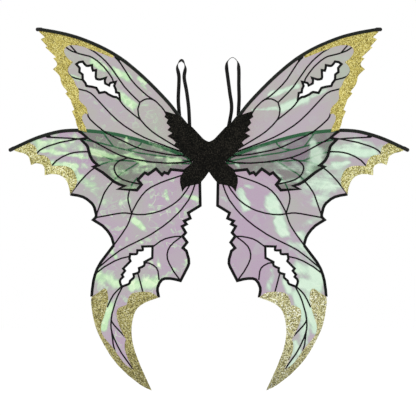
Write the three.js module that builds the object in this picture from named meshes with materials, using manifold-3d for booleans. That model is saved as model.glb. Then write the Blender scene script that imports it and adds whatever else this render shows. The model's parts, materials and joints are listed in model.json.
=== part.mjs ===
// Fairy wings: a costume back piece with four film wings that plug into a moulded hub.
//
// Millimetres, +Z up. X runs across the wings, and -Y is the outer face, away from the wearer.
// The origin is on the back pad's rear face, where the axes of the two upper spars cross.
// Every wing is drawn once, on the +X side, and mirrored for the other side.

import * as THREE from 'three';
import { mergeVertices } from 'three/addons/utils/BufferGeometryUtils.js';
import Module from 'manifold-3d';

const wasm = await Module();
wasm.setup();

// ---------------------------------------------------------------- driving sizes
const UPPER_SPAN = 768; // across the tips of the upper wings
const LOWER_SPAN = 890; // across the tips of the lower wings
const HEIGHT = 798; // from the upper tips to the tail tips

const SPAR_DIAMETER = 4.6; // solid rod
const SPAR_CLEARANCE = 0.3; // all round the rod, in its sleeve, socket and cap
const SLEEVE_WALL = 1.3;
const CAP_WALL = 1.8;
const CAP_LENGTH = 14;
const CAP_NOSE = 3.6; // of the cap's length, where it rounds off
const END_CLEARANCE = 0.5; // between the ends of rods, sleeves, caps and screws and what they meet
const SOCKET_WALL = 1.6;
const SOCKET_REACH = 70; // from the crossing of the upper axes to the upper sockets' mouths
const LOWER_SOCKET_REACH = 34; // from the lower axes' crossing to the lower sockets' mouths
const SOCKET_FLOOR = 9; // from an axes' crossing to the bottom of its sockets

const FILM_THICKNESS = 0.6;
const TRIM_THICKNESS = 0.8;
const VEIN_WIDTH = 3.4;
const VEIN_OVERRUN = 0.7; // past a vein's drawn ends
const EDGE_WIDTH = 6.4; // black outlines
const RING_WIDTH = 5.4; // round the cut-outs
const RING_INSIDE = 2; // of the ring's width, inside the film's own cut-out
const UPPER_SHEET_START = 80; // along the spar, where the film begins
const LOWER_SHEET_START = 48;
const SHEET_END = 4; // along the spar, from the tip back to the end of the film
const WING_CLEARANCE = 0.3; // between a wing's sheets and whatever they are cut round

const PAD_WIDTH = 60;
const PAD_HEIGHT = 54;
const PAD_THICKNESS = 7;
const PAD_CORNER = 10;
const PLATE_THICKNESS = 2.4;
const HUB_WIDTH = 48;
const HUB_TOP = 17; // above the crossing of the upper axes
const HUB_FOOT = 12; // below the crossing of the lower axes
const HUB_CORNER = 8;
const PLATE_MARGIN = 4; // of the back plate, past each side of the hub
const LEVEL_STEP = 7; // upper wings in front of lower wings
const LID_THICKNESS = 1.5;
const TAPE_THICKNESS = 1; // each half of the hook-and-loop fastener
const TAPE_WIDTH = 40;
const TAPE_MARGIN = 13.8; // above and below the tape, to the hub's top and foot
const TAPE_CORNER = 4;
const SCREW_DIAMETER = 3;
const SCREW_HEAD_DIAMETER = 5.6;
const SCREW_HEAD_HEIGHT = 1.3;
const SCREW_CLEARANCE = 0.25;
const SCREW_INSET = 7; // from the hub's sides and foot
const SCREW_TOP_INSET = 9;

const COVER_WIDTH = 196;
const COVER_HEIGHT = 178;
const COVER_THICKNESS = 3;

const ARM_WIDTH = 12; // of the plate's two upper arms
const ARM_OFFSET = 3; // of an arm's middle, below the spar's axis
const ARM_PAST_BAR = 3;
const BAR_DIAMETER = 3;
const BAR_START = 60; // along the arm, from the crossing of the upper axes
const BAR_END = 106;
const BAR_CLEARANCE = 0.35;
const TUBE_CLEARANCE = 0.4; // between a strap's end tubes and the plate behind them
const TUBE_INSET = 2.4; // from the bar's legs to the end tubes
const STRAP_WIDTH = 8;
const STRAP_THICKNESS = 1.3;
const CREST_FLAT = 8; // from a strap's crest, how far it stays edge-on
const CREST_TURN = 34; // from a strap's crest, where it lies flat again
const LEAN_REACH = 13; // from a strap's crest, how far the crest's own lean is felt
const LEFT_CREST_LEAN = 0.75; // radians that the crest leans forward from edge-on
const RIGHT_CREST_LEAN = 0.1;
const SEAM_LENGTH = 16;
const SEAM_START = 35; // before the strap's outer end
const SEAM_THICKNESS = 1.2;

const UPPER_GOLD_START = 300; // along the spar, where the gold edging begins
const LOWER_GOLD_START = 405;

const FLATNESS = 0.5; // how far a drawn curve may leave its chords
const SPAR_FLATNESS = 0.9; // the same, for the spars
const MITRE_LIMIT = 2; // how far a sharp corner may reach past its strip, in half widths
const ROUND_SIDES = 8; // sides of a rod or tube
const TURNED_SIDES = 12; // sides of a cap, a screw or a strap's end tube
const STRAP_STEPS = 34; // lengths that a strap's path is cut into
const CUT_PAST = 1; // how far a cutting shape reaches past what it cuts
const TIP_ROOM = 6; // how far the room for a spar reaches past its tip

// ---------------------------------------------------------------- levels along Y, front is -Y
const SLEEVE_BORE = SPAR_DIAMETER / 2 + SPAR_CLEARANCE;
const SLEEVE_RADIUS = SLEEVE_BORE + SLEEVE_WALL;
const CAP_RADIUS = SLEEVE_BORE + CAP_WALL;
const SOCKET_RADIUS = SLEEVE_BORE + SOCKET_WALL;
const SPAR_ROOM = Math.max(SOCKET_RADIUS, SLEEVE_RADIUS) + WING_CLEARANCE;
const CAP_ROOM = (CAP_RADIUS + WING_CLEARANCE) / Math.cos(Math.PI / ROUND_SIDES);
const PLATE_REAR = -PAD_THICKNESS;
const HUB_REAR = PLATE_REAR - PLATE_THICKNESS;
const LOWER_LEVEL = HUB_REAR - SOCKET_RADIUS;
const UPPER_LEVEL = LOWER_LEVEL - LEVEL_STEP;
const HUB_FRONT = UPPER_LEVEL - SOCKET_RADIUS;
const LID_FRONT = HUB_FRONT - LID_THICKNESS;
const HOOK_FRONT = LID_FRONT - TAPE_THICKNESS;
const COVER_REAR = HOOK_FRONT - TAPE_THICKNESS;
const BAR_LEVEL = PLATE_REAR + BAR_DIAMETER / 2 + BAR_CLEARANCE + STRAP_THICKNESS + TUBE_CLEARANCE;

// ---------------------------------------------------------------- materials
const material = (color, roughness, metalness = 0) =>
  new THREE.MeshStandardMaterial({ color, roughness, metalness });
const FILM = material(0xbaaeb6, 0.2);
const UPPER_FILM = material(0xb9b2ac, 0.2);
const FLOCK = material(0x191917, 0.85);
const GOLD = material(0xc0ae55, 0.45, 0.6);
const SLEEVE = material(0x1c1d1b, 0.4);
const ROD = material(0x2a2a2a, 0.35);
const RUBBER = material(0x161616, 0.6);
const MOULDING = material(0x222222, 0.5);
const FELT = material(0x262626, 0.95);
const FOAM = material(0x1b1b19, 0.9);
const TAPE = material(0x202020, 0.9);
const STEEL = material(0x9a9c9f, 0.35, 0.9);
const ELASTIC = material(0x1d1d1d, 0.8);

// ---------------------------------------------------------------- drawing in the wing's plane
// The wings are drawn at these sizes, then stretched to the driving sizes.
const DRAWN_UPPER_SPAN = 780;
const DRAWN_LOWER_SPAN = 892;
const DRAWN_HEIGHT = 808;
const UP = HEIGHT / DRAWN_HEIGHT;
const UPPER_ACROSS = UPPER_SPAN / DRAWN_UPPER_SPAN;
const LOWER_ACROSS = LOWER_SPAN / DRAWN_LOWER_SPAN;

/** Keeps only the points that hold a polyline within a distance of its shape. */
function flatten(points, flatness) {
  const first = points[0];
  const last = points.at(-1);
  const chord = last.clone().sub(first);
  const length = chord.length() || 1;
  let worst = 0;
  let at = 0;
  for (let i = 1; i < points.length - 1; i += 1) {
    const off = Math.abs(chord.cross(points[i].clone().sub(first))) / length;
    if (off > worst) {
      worst = off;
      at = i;
    }
  }
  if (worst < flatness) return [first, last];
  return [...flatten(points.slice(0, at + 1), flatness), ...flatten(points.slice(at), flatness).slice(1)];
}

/** One smooth run through the given [x, z] points, as a polyline. */
function smooth(run, across, up = UP, flatness = FLATNESS) {
  const through = run.map(([x, z]) => new THREE.Vector2(x * across, z * up));
  if (through.length === 2) return through;
  return flatten(new THREE.SplineCurve(through).getPoints((through.length - 1) * 8), flatness);
}

/** Splits an edge into its runs: each one starts at the corner where the last one ended. */
function runsOf(edge) {
  return edge.map((run, i) => (i ? [edge[i - 1].at(-1), ...run] : run));
}

/** Joins an edge's runs into one polyline, with a corner wherever a run ends. */
function trace(edge, across, up = UP, flatness = FLATNESS) {
  return runsOf(edge).flatMap((run, i) => smooth(run, across, up, flatness).slice(i ? 1 : 0));
}

/** The stretch of a polyline between two distances along it. */
function stretch(points, from, to) {
  const kept = [];
  let run = 0;
  for (let i = 0; i < points.length - 1; i += 1) {
    const length = points[i].distanceTo(points[i + 1]);
    const enter = Math.max(0, (from - run) / length);
    const leave = Math.min(1, (to - run) / length);
    if (enter < leave) {
      if (!kept.length) kept.push(points[i].clone().lerp(points[i + 1], enter));
      kept.push(points[i].clone().lerp(points[i + 1], leave));
    }
    run += length;
  }
  return kept;
}

/** Polylines end to end as one closed outline, without repeated points. */
function loop(...lines) {
  const points = lines.flat();
  return points.filter((point, i) => point.distanceTo(points.at(i - 1)) > 1e-6);
}

/** The mirror image of a polyline, on the other side of the middle plane. */
const mirrored = (points) => points.map((point) => new THREE.Vector2(-point.x, point.y));

const lengthOf = (points) => points.slice(1).reduce((sum, p, i) => sum + p.distanceTo(points[i]), 0);

/** The offset of a corner from its point, so that the lines on both sides move by the same distance. */
function mitre(before, point, after, distance) {
  const reach = Math.min(point.distanceTo(before) || Infinity, point.distanceTo(after) || Infinity);
  const arriving = point.clone().sub(before).normalize();
  const leaving = after.clone().sub(point).normalize();
  const through = arriving.clone().add(leaving).normalize();
  const spread = 1 / Math.max(through.dot(arriving.lengthSq() ? arriving : leaving), 0.01);
  const size = Math.abs(distance);
  const stretched = Math.min(size * Math.min(spread, MITRE_LIMIT), Math.max(reach, size));
  return new THREE.Vector2(through.y, -through.x).multiplyScalar(Math.sign(distance) * stretched);
}

/** Moves a closed outline outwards by a distance, or inwards by a negative one. */
function grown(outline, distance) {
  const turn = THREE.ShapeUtils.area(outline) > 0 ? 1 : -1;
  return outline.map((point, i) => {
    const after = outline[(i + 1) % outline.length];
    return mitre(outline.at(i - 1), point, after, distance * turn).add(point);
  });
}

// ---------------------------------------------------------------- solids
/** A closed three.js geometry as a solid that can be joined and cut. */
function solid(geometry) {
  const bare = new THREE.BufferGeometry();
  bare.setAttribute('position', geometry.attributes.position);
  if (geometry.index) bare.setIndex(geometry.index);
  const merged = mergeVertices(bare);
  const vertProperties = Float32Array.from(merged.attributes.position.array);
  const triVerts = Uint32Array.from(merged.index.array);
  return new wasm.Manifold(new wasm.Mesh({ numProp: 3, vertProperties, triVerts }));
}

/** A named mesh from a solid. */
function piece(name, shape, finish) {
  const { vertProperties, triVerts } = shape.getMesh();
  const geometry = new THREE.BufferGeometry();
  geometry.setAttribute('position', new THREE.BufferAttribute(Float32Array.from(vertProperties), 3));
  geometry.setIndex(new THREE.BufferAttribute(Uint32Array.from(triVerts), 1));
  geometry.computeVertexNormals();
  const mesh = new THREE.Mesh(geometry, finish);
  mesh.name = name;
  return mesh;
}

/** A flat plate: an outline in the XZ plane, from its rear face forwards. */
function plate(outline, rear, thickness) {
  const shape = new THREE.Shape(outline);
  const geometry = new THREE.ExtrudeGeometry(shape, { depth: thickness, bevelEnabled: false });
  geometry.rotateX(Math.PI / 2);
  geometry.translate(0, rear, 0);
  return solid(geometry);
}

/** A flat strip along a polyline, carried on past both ends by the given distance. */
function strip(line, width, rear, thickness, past = 0) {
  const points = line.map((point) => point.clone());
  const run = points[0].clone().sub(points[1]).setLength(past);
  const out = points.at(-1).clone().sub(points.at(-2)).setLength(past);
  points[0].add(run);
  points.at(-1).add(out);
  const side = (offset) => points.map((point, i) => {
    const before = points[Math.max(i - 1, 0)];
    const after = points[Math.min(i + 1, points.length - 1)];
    return mitre(before, point, after, offset).add(point);
  });
  return plate([...side(-width / 2), ...side(width / 2).reverse()], rear, thickness);
}

/** A rod along a polyline in the XZ plane at one level of Y. */
function rod(line, radius, level) {
  const ring = Array.from({ length: ROUND_SIDES }, (_, k) => (2 * Math.PI * (k + 0.5)) / ROUND_SIDES);
  const position = [];
  line.forEach((point, i) => {
    const before = point.clone().sub(line[Math.max(i - 1, 0)]).normalize();
    const after = line[Math.min(i + 1, line.length - 1)].clone().sub(point).normalize();
    const along = before.add(after).normalize();
    for (const angle of ring) {
      const off = radius * Math.cos(angle);
      position.push(point.x - along.y * off, level + radius * Math.sin(angle), point.y + along.x * off);
    }
  });
  const index = [];
  const last = (line.length - 1) * ROUND_SIDES;
  for (let k = 0; k < ROUND_SIDES; k += 1) {
    const next = (k + 1) % ROUND_SIDES;
    for (let i = 0; i < last; i += ROUND_SIDES) {
      index.push(i + k, i + ROUND_SIDES + k, i + next);
      index.push(i + next, i + ROUND_SIDES + k, i + ROUND_SIDES + next);
    }
    if (k > 0 && k < ROUND_SIDES - 1) {
      index.push(0, k, k + 1);
      index.push(last, last + k + 1, last + k);
    }
  }
  const geometry = new THREE.BufferGeometry();
  geometry.setAttribute('position', new THREE.Float32BufferAttribute(position, 3));
  geometry.setIndex(index);
  return solid(geometry);
}

/** A turned piece whose profile is [radius, distance] pairs along a direction in the XZ plane. */
function turned(profile, from, direction, level) {
  const points = profile.map(([radius, along]) => new THREE.Vector2(radius, along));
  const geometry = new THREE.LatheGeometry(points, TURNED_SIDES);
  geometry.rotateZ(Math.atan2(direction.y, direction.x) - Math.PI / 2);
  geometry.rotateX(Math.PI / 2);
  geometry.translate(from.x, level, from.y);
  return solid(geometry);
}

/** A short cylinder along Y. */
function post(x, z, radius, rear, front, sides = TURNED_SIDES) {
  const geometry = new THREE.CylinderGeometry(radius, radius, rear - front, sides);
  geometry.translate(x, (rear + front) / 2, z);
  return solid(geometry);
}

/** A rectangle with round corners, centred on X. */
function roundedRect(width, bottom, top, radius) {
  const x = width / 2 - radius;
  const shape = new THREE.Shape();
  shape.absarc(x, bottom + radius, radius, -Math.PI / 2, 0);
  shape.absarc(x, top - radius, radius, 0, Math.PI / 2);
  shape.absarc(-x, top - radius, radius, Math.PI / 2, Math.PI);
  shape.absarc(-x, bottom + radius, radius, Math.PI, Math.PI * 1.5);
  return loop(shape.getPoints(2));
}

/** A flat band along a path in the XZ plane, turned edge-on round its crest, which leans. */
function band(path, endAxis, crestLean, level) {
  const crest = path.reduce((best, point, i) => (point.y > path[best].y ? i : best), 0);
  const position = [];
  path.forEach((point, i) => {
    const before = path[Math.max(i - 1, 0)];
    const after = path[Math.min(i + 1, path.length - 1)];
    const forward = after.clone().sub(before).normalize();
    const isEnd = i === 0 || i === path.length - 1;
    const flank = isEnd
      ? endAxis.clone().multiplyScalar(i ? 1 : -1)
      : new THREE.Vector2(-forward.y, forward.x);
    const fromCrest = point.distanceTo(path[crest]);
    const onEdge = 1 - THREE.MathUtils.smoothstep(fromCrest, CREST_FLAT, CREST_TURN);
    const lean = crestLean * (1 - THREE.MathUtils.smoothstep(fromCrest, 0, LEAN_REACH));
    const turn = (Math.PI / 2) * onEdge - lean;
    for (const [across, through] of [[1, 1], [-1, 1], [-1, -1], [1, -1]]) {
      const wide = (across * STRAP_WIDTH) / 2;
      const thick = (through * STRAP_THICKNESS) / 2;
      const inPlane = Math.cos(turn) * wide - Math.sin(turn) * thick;
      const outOfPlane = Math.sin(turn) * wide + Math.cos(turn) * thick;
      position.push(point.x + flank.x * inPlane, level + outOfPlane, point.y + flank.y * inPlane);
    }
  });
  const index = [0, 1, 2, 0, 2, 3];
  const last = position.length / 3 - 4;
  for (let i = 0; i < last; i += 4) {
    for (let k = 0; k < 4; k += 1) {
      const next = (k + 1) % 4;
      index.push(i + k, i + 4 + k, i + next, i + next, i + 4 + k, i + 4 + next);
    }
  }
  index.push(last, last + 2, last + 1, last, last + 3, last + 2);
  const geometry = new THREE.BufferGeometry();
  geometry.setAttribute('position', new THREE.Float32BufferAttribute(position, 3));
  geometry.setIndex(index);
  return solid(geometry);
}

const union = (solids) => solids.reduce((sum, next) => sum.add(next));

// ---------------------------------------------------------------- wing drawings, [x, z] in mm
// An edge is a list of runs. Each run is smooth, and a corner stands where one run ends.
const UPPER_SPAR = [
  [[0, 0], [64, 76.8]],
  [[80, 97], [100, 120], [150, 170], [200, 210], [250, 237.5], [300, 256.5], [350, 268.5], [371, 271.5]],
  [[387, 272.5]],
];
const LOWER_SPAR = [
  [[0, -29], [40, -14]],
  [[60, -5.5], [100, 9], [140, 22.5], [190, 36], [230, 43.5], [280, 48], [320, 47], [355, 39.5],
    [392, 26.5], [427, 10]],
  [[442, 2.5]],
];

const UPPER_TIP_EDGE = [
  [[380, 268], [366, 255]],
  [[375, 250.5]],
  [[360.5, 234.5]],
  [[365, 233]],
  [[341, 210.5]],
  [[347, 208]],
  [[340, 200], [339, 192], [348, 184]],
  [[333.5, 170], [330, 156], [326, 147], [315.5, 134]],
  [[320, 130]],
  [[309, 117], [306, 108], [300, 94]],
  [[305.5, 90.5]],
  [[298, 74], [295, 60], [290, 49]],
];
const UPPER_GOLD_INNER = [
  [[272, 44], [275, 56], [281, 67], [283, 78], [278, 85], [270.5, 84]],
  [[272, 96], [278, 104], [286, 111], [290, 119], [289.5, 130], [291, 140], [296, 147], [302, 161],
    [313.5, 175], [313, 188], [303, 200]],
  [[314, 207.5], [322.5, 220.5], [320.5, 231.5], [307.5, 237.5], [284, 235], [247, 222], [214, 209]],
];
const UPPER_LOWER_EDGE = [
  [[290, 46], [284, 42.5], [271, 31]],
  [[286, 28.5]],
  [[278, 20.5], [270.5, 12], [267.5, 0], [264, -11], [257.5, -21], [247, -30]],
  [[257.5, -33]],
  [[237, -45.5], [225, -55.5], [213, -65], [200, -72], [188, -75.5]],
  [[202, -82.5]],
  [[185, -83.5], [160.5, -85]],
  [[150, -72.5]],
  [[158.5, -62]],
  [[143, -46]],
  [[135.5, -50]],
  [[118, -37.5]],
  [[104.5, -51]],
  [[99.5, -45.5]],
  [[91, -48.5]],
  [[85, -39]],
  [[68, -40.5], [55, -42]],
];
const UPPER_ROOT = [[[44, -34], [31, -24]], [[40, -2], [48, 18], [51, 62]]];
const UPPER_CUTOUT = [
  [[294.5, 195], [289, 199], [281.5, 200]],
  [[277, 194], [272, 190.5], [261.5, 192]],
  [[261, 186], [259, 180]],
  [[252.5, 181]],
  [[253, 165.5], [250, 161.5], [241, 160.5], [230, 165]],
  [[233, 160], [232, 152]],
  [[222, 147]],
  [[219, 153], [209, 155]],
  [[212, 147], [208.5, 139.5], [207.5, 132]],
  [[201, 130.5]],
  [[199, 117.5]],
  [[206, 122.5], [213, 123.5], [223.5, 128.5]],
  [[232, 134], [244, 132]],
  [[247.5, 137], [250.5, 143]],
  [[260, 145.5], [272.5, 147.5]],
  [[274.5, 153], [280.5, 161]],
  [[281, 172.5]],
  [[288, 178]],
  [[287.5, 187], [290, 190]],
  [[294.5, 195]],
];
const UPPER_VEINS = [
  [[311, 239], [296, 222]],
  [[323, 236], [307.5, 225], [288, 218], [262, 211], [237.5, 192.5], [217, 166], [213, 153.5]],
  [[274, 234], [249.5, 218.5], [222, 192.5], [188.5, 145], [154, 110]],
  [[211, 212], [197, 197], [171, 157.5], [140, 127], [119.5, 113.5]],
  [[154, 110.5], [139, 118], [122, 115], [103.5, 97.5], [94, 82]],
  [[154, 110.5], [158.5, 93], [152, 71], [127, 45.5], [98, 26.5], [61, 4.5], [38, -6]],
  [[200, 116], [188.5, 101], [171, 85.5], [152, 71]],
  [[291, 140], [266, 132.5], [245.5, 113], [216.5, 82], [188.5, 58], [150, 35], [112, 19], [64, 1.5],
    [36, -8]],
  [[271, 86], [264.5, 72], [234, 46], [207.5, 31.5], [159, 9.5], [119.5, -0.5], [75.5, -7.5], [36, -9]],
  [[271, 31], [242.5, 15.5], [201.5, -6], [170, -15.5], [130, -22], [92, -25], [59.5, -23.5], [33, -19]],
  [[181, -13], [200, -20], [211, -33], [206, -50.5], [188.5, -63], [150, -72.5]],
  [[317, 183], [308, 168], [281, 160]],
];

const LOWER_TIP_EDGE = [
  [[432, 4], [420, 0], [408, -3], [397, -11], [392, -29]],
  [[381, -25], [370, -27], [363, -34], [362, -51.5]],
  [[345, -49], [328, -51.5], [315, -62], [308.5, -78], [305.5, -94]],
];
const LOWER_GOLD_INNER = [
  [[305.5, -94], [291.5, -72], [293.5, -52], [303, -37], [320, -30.5], [346, -31]],
  [[351, -17], [361, -8], [379, -5]],
  [[380.5, 8], [388, 17], [402, 20]],
];
const LOWER_SCALLOPS = [
  [[305.5, -94], [277.5, -100], [256.5, -116], [249, -137], [250, -146], [255, -151]],
  [[232, -166], [215.5, -187.5], [209.5, -207]],
];
const LOWER_FLANK = [[[209.5, -207], [227, -230], [243.5, -254], [253, -280], [257, -304], [258.5, -322]]];
const TAIL_OUTER = [
  [[258.5, -322], [259.5, -340], [249, -392], [219.5, -449.5], [188, -488], [151.5, -518],
    [126, -531]],
];
const TAIL_INNER = [
  [[126, -531], [150, -478], [164.5, -439], [170.5, -404.5], [168, -373], [159, -349.5], [140, -335],
    [110.5, -324]],
];
const TAIL_GOLD_OUTER_LOBE = [
  [[258.5, -322], [245, -313.5], [230.5, -303.5], [224, -309]],
  [[222, -330], [229, -359], [238, -386], [234, -408], [212, -435.5], [186.5, -470.5], [166.5, -484.5]],
];
const TAIL_GOLD_INNER_LOBE = [
  [[166.5, -484.5], [182, -452], [186, -430], [183, -417]],
  [[195, -393.5], [203, -369.5], [201, -349], [181, -340]],
  [[176, -322], [162.5, -312.5], [129.5, -312], [110.5, -324]],
];
const LOWER_INNER_EDGE = [
  [[110.5, -324], [113.5, -304], [107, -288], [98.5, -282], [82, -282], [62.5, -286.5]],
  [[53, -267.5], [44, -248], [46.5, -230], [49.5, -220.5]],
  [[57.5, -213.5]],
  [[48, -201]],
  [[58, -187.5]],
  [[51, -179.5]],
  [[59, -165.5]],
  [[49.5, -160.5]],
  [[54.5, -153.5]],
  [[41, -147.5]],
  [[45.5, -135.5]],
  [[19, -119]],
  [[20, -69]],
];
const LOWER_ROOT = [[[30, -62], [37, -50], [36, -38], [36, -30]], [[47, -14]]];
const LOWER_CUTOUT = [
  [[125, -210.5], [146, -211]],
  [[145.5, -219], [157, -219.5]],
  [[159, -227.5], [173, -228]],
  [[174.5, -237.5], [172, -243]],
  [[188, -259.5]],
  [[184, -264.5]],
  [[191, -273]],
  [[188, -278]],
  [[195.5, -286.5], [192, -299]],
  [[177.5, -293.5], [174.5, -286.5]],
  [[166.5, -279.5], [167, -271.5]],
  [[155, -267], [155, -258]],
  [[143.5, -252.5], [143, -244.5]],
  [[125.5, -235]],
  [[125, -210.5]],
];
const LOWER_VEINS = [
  [[305.5, -94], [283.5, -65], [257.5, -39], [234, -26], [200, -19], [138.5, -21.5], [80, -25], [38, -26]],
  [[372, 34], [335, 32], [284, 29], [237, 19.5], [193, 7.5], [149, -3], [97.5, -10.5], [41, -21]],
  [[381, -6], [370, 6], [342.5, 17.5], [313, 25], [290, 29]],
  [[348, -32], [333.5, -17], [310, -4.5], [283.5, 0.5], [255, -1.5], [207, -19.5]],
  [[233, 42], [222, 27], [210, 12]],
  [[179.5, 5.5], [162.5, 8], [151, 16.5], [148, 25]],
  [[250, -146], [239.5, -115], [227, -85], [198, -51], [166, -30.5], [154, -22]],
  [[158, -57], [171, -75], [178.5, -104], [170, -137.5]],
  [[36, -44], [68, -54.5], [112, -70.5], [141.5, -89], [166, -126], [180, -164], [209.5, -207]],
  [[250, -146], [217.5, -140], [186.5, -135.5], [147, -139.5], [100, -128.5], [62, -102], [34, -60]],
  [[28, -64], [45, -107], [79.5, -147.5], [128, -183.5], [196, -219], [246, -259.5]],
  [[173, -232], [200, -239], [230.5, -255.5], [249, -270]],
  [[122.5, -210], [100, -194.5], [73, -188], [58, -187.5]],
  [[60, -188], [85.5, -209.5], [92, -234.5], [79.5, -263], [62.5, -286.5]],
  [[142, -247], [130, -248], [114, -260], [110, -284]],
  [[157, -268], [150, -294.5], [145, -314]],
  [[192, -299], [210.5, -318], [224, -345]],
  [[190, -299], [204, -327.5], [215, -368], [209.5, -384.5], [183, -413.5]],
  [[215, -368], [214.5, -399], [195.5, -443], [166.5, -484.5]],
  [[214.5, -399], [211, -428.5], [207, -444]],
];

const COVER_EDGE = [
  [[0, 22], [9.5, 26.5], [18.5, 35], [35, 53], [52, 65.5], [59.5, 72], [64, 79]],
  [[80, 84.5], [98, 90]],
  [[94.5, 83]],
  [[97.5, 76.5]],
  [[89.5, 70.5]],
  [[93, 63]],
  [[85, 54.5]],
  [[91, 47.5]],
  [[80, 41]],
  [[91, 34.5]],
  [[78.5, 26.5], [72.5, 20.5]],
  [[76, 15.5]],
  [[59.5, -1.5], [46, -13], [34.5, -20.5]],
  [[49, -36.5], [61, -51], [63.5, -67], [58.5, -88]],
  [[52, -79], [44.5, -75], [20, -70]],
  [[15.5, -64.5], [8, -55.5], [0, -44]],
];
const DRAWN_COVER_WIDTH = 196;
const DRAWN_COVER_HEIGHT = 178;

// Each shoulder strap's middle line, from its inner anchor over the top to its outer anchor.
const STRAPS = {
  right: {
    top: [[50, 96], [46, 132], [41.5, 166], [39, 188], [41.5, 201], [52.5, 209], [63.5, 199],
      [66, 180], [66, 150], [66.5, 115]],
    crestLean: RIGHT_CREST_LEAN,
  },
  left: {
    top: [[44.5, 96], [49, 133], [54.5, 165], [52, 188], [60, 203], [70, 190], [66, 165],
      [67.5, 115]],
    crestLean: LEFT_CREST_LEAN,
  },
};

// ---------------------------------------------------------------- axes of the spars
const upperSpar = trace(UPPER_SPAR, UPPER_ACROSS, UP, SPAR_FLATNESS);
const lowerSpar = trace(LOWER_SPAR, LOWER_ACROSS, UP, SPAR_FLATNESS);
const axisOf = (line) => line[1].clone().sub(line[0]).normalize();
const upperAxis = axisOf(upperSpar);
const lowerCrossing = lowerSpar[0];
const shifted = (from, direction, distance) => direction.clone().multiplyScalar(distance).add(from);
const HUB_BOTTOM = lowerCrossing.y - HUB_FOOT;
const HUB_MIDDLE = (HUB_TOP + HUB_BOTTOM) / 2;
const hubOutline = roundedRect(HUB_WIDTH, HUB_BOTTOM, HUB_TOP, HUB_CORNER);

// ---------------------------------------------------------------- wings
/** The rod, its sleeve and its tip cap, with the space that the wing's sheets are cut back from. */
function leadingEdge({ which, line, socketReach, level }, side) {
  const end = lengthOf(line);
  const tip = line.at(-1);
  const direction = tip.clone().sub(line.at(-2)).normalize();
  const capMouth = end - CAP_LENGTH;

  const rodLine = stretch(line, SOCKET_FLOOR + END_CLEARANCE, end - CAP_WALL - END_CLEARANCE);
  const core = rod(rodLine, SPAR_DIAMETER / 2, level);
  const sleeveLine = stretch(line, socketReach + END_CLEARANCE, capMouth - END_CLEARANCE);
  const sleeve = rod(sleeveLine, SLEEVE_RADIUS, level)
    .subtract(rod(stretch(line, socketReach, capMouth + CUT_PAST), SLEEVE_BORE, level));
  const cap = turned([
    [0, -CAP_WALL], [SLEEVE_BORE, -CAP_WALL], [SLEEVE_BORE, -CAP_LENGTH], [CAP_RADIUS, -CAP_LENGTH],
    [CAP_RADIUS, -CAP_NOSE], [CAP_RADIUS * 0.75, -CAP_NOSE / 3], [0, 0],
  ], tip, direction, level);

  const beyond = shifted(tip, direction, TIP_ROOM);
  const keepOut = union([
    rod([...stretch(line, 0, end), beyond], SPAR_ROOM, level),
    rod([shifted(tip, direction, -CAP_LENGTH - END_CLEARANCE), beyond], CAP_ROOM, level),
    plate(grown(hubOutline, WING_CLEARANCE), HUB_REAR + CUT_PAST, HUB_REAR - LID_FRONT + 2 * CUT_PAST),
  ]);
  const pieces = [
    piece(`${which}_spar_${side}`, core, ROD),
    piece(`${which}_sleeve_${side}`, sleeve, SLEEVE),
    piece(`${which}_tip_cap_${side}`, cap, RUBBER),
  ];
  return { keepOut, pieces };
}

/** One wing, on the +X side: its leading edge, film, black web and gold edging. */
function wing(drawing, side) {
  const { which, across, level } = drawing;
  const filmRear = level + FILM_THICKNESS / 2;
  const trimRear = filmRear - FILM_THICKNESS;
  const { keepOut, pieces } = leadingEdge(drawing, side);
  const film = plate(drawing.film, filmRear, FILM_THICKNESS)
    .subtract(keepOut.add(plate(drawing.cutout, filmRear + CUT_PAST, FILM_THICKNESS + 2 * CUT_PAST)));

  const cutTrim = (outline) => plate(outline, trimRear + CUT_PAST, TRIM_THICKNESS + 2 * CUT_PAST);
  const web = union([
    ...drawing.veins.map((vein) =>
      strip(smooth(vein, across), VEIN_WIDTH, trimRear, TRIM_THICKNESS, VEIN_OVERRUN)),
    ...drawing.edges.map((edge) => strip(trace(edge, across), EDGE_WIDTH, trimRear, TRIM_THICKNESS)),
    plate(grown(drawing.cutout, RING_WIDTH - RING_INSIDE), trimRear, TRIM_THICKNESS),
  ]).subtract(cutTrim(grown(drawing.cutout, -RING_INSIDE)));
  const golds = Object.entries(drawing.golds);
  const goldRoom = union(golds.map(([, outline]) => cutTrim(grown(outline, WING_CLEARANCE))));

  const group = new THREE.Group();
  group.add(...pieces);
  group.add(piece(`${which}_film_${side}`, film, drawing.finish));
  group.add(piece(`${which}_veins_${side}`, web.subtract(keepOut.add(goldRoom)), FLOCK));
  for (const [name, outline] of golds) {
    group.add(piece(`${name}_${side}`, plate(outline, trimRear, TRIM_THICKNESS).subtract(keepOut), GOLD));
  }
  return group;
}

/** An upper wing's outlines, at the driving sizes. */
function upperDrawing() {
  const line = upperSpar;
  const lead = (from) => stretch(line, from, lengthOf(line) - SHEET_END);
  const draw = (edge) => trace(edge, UPPER_ACROSS);
  return {
    which: 'upper', across: UPPER_ACROSS, level: UPPER_LEVEL, line, socketReach: SOCKET_REACH,
    film: loop(lead(UPPER_SHEET_START), draw(UPPER_TIP_EDGE),
      draw([...UPPER_LOWER_EDGE, ...UPPER_ROOT])),
    cutout: loop(draw(UPPER_CUTOUT)),
    edges: [[...UPPER_LOWER_EDGE, ...UPPER_ROOT]],
    veins: UPPER_VEINS,
    golds: {
      upper_gold: loop(lead(UPPER_GOLD_START), draw(UPPER_TIP_EDGE), draw(UPPER_GOLD_INNER)),
    },
    finish: UPPER_FILM,
  };
}

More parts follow.
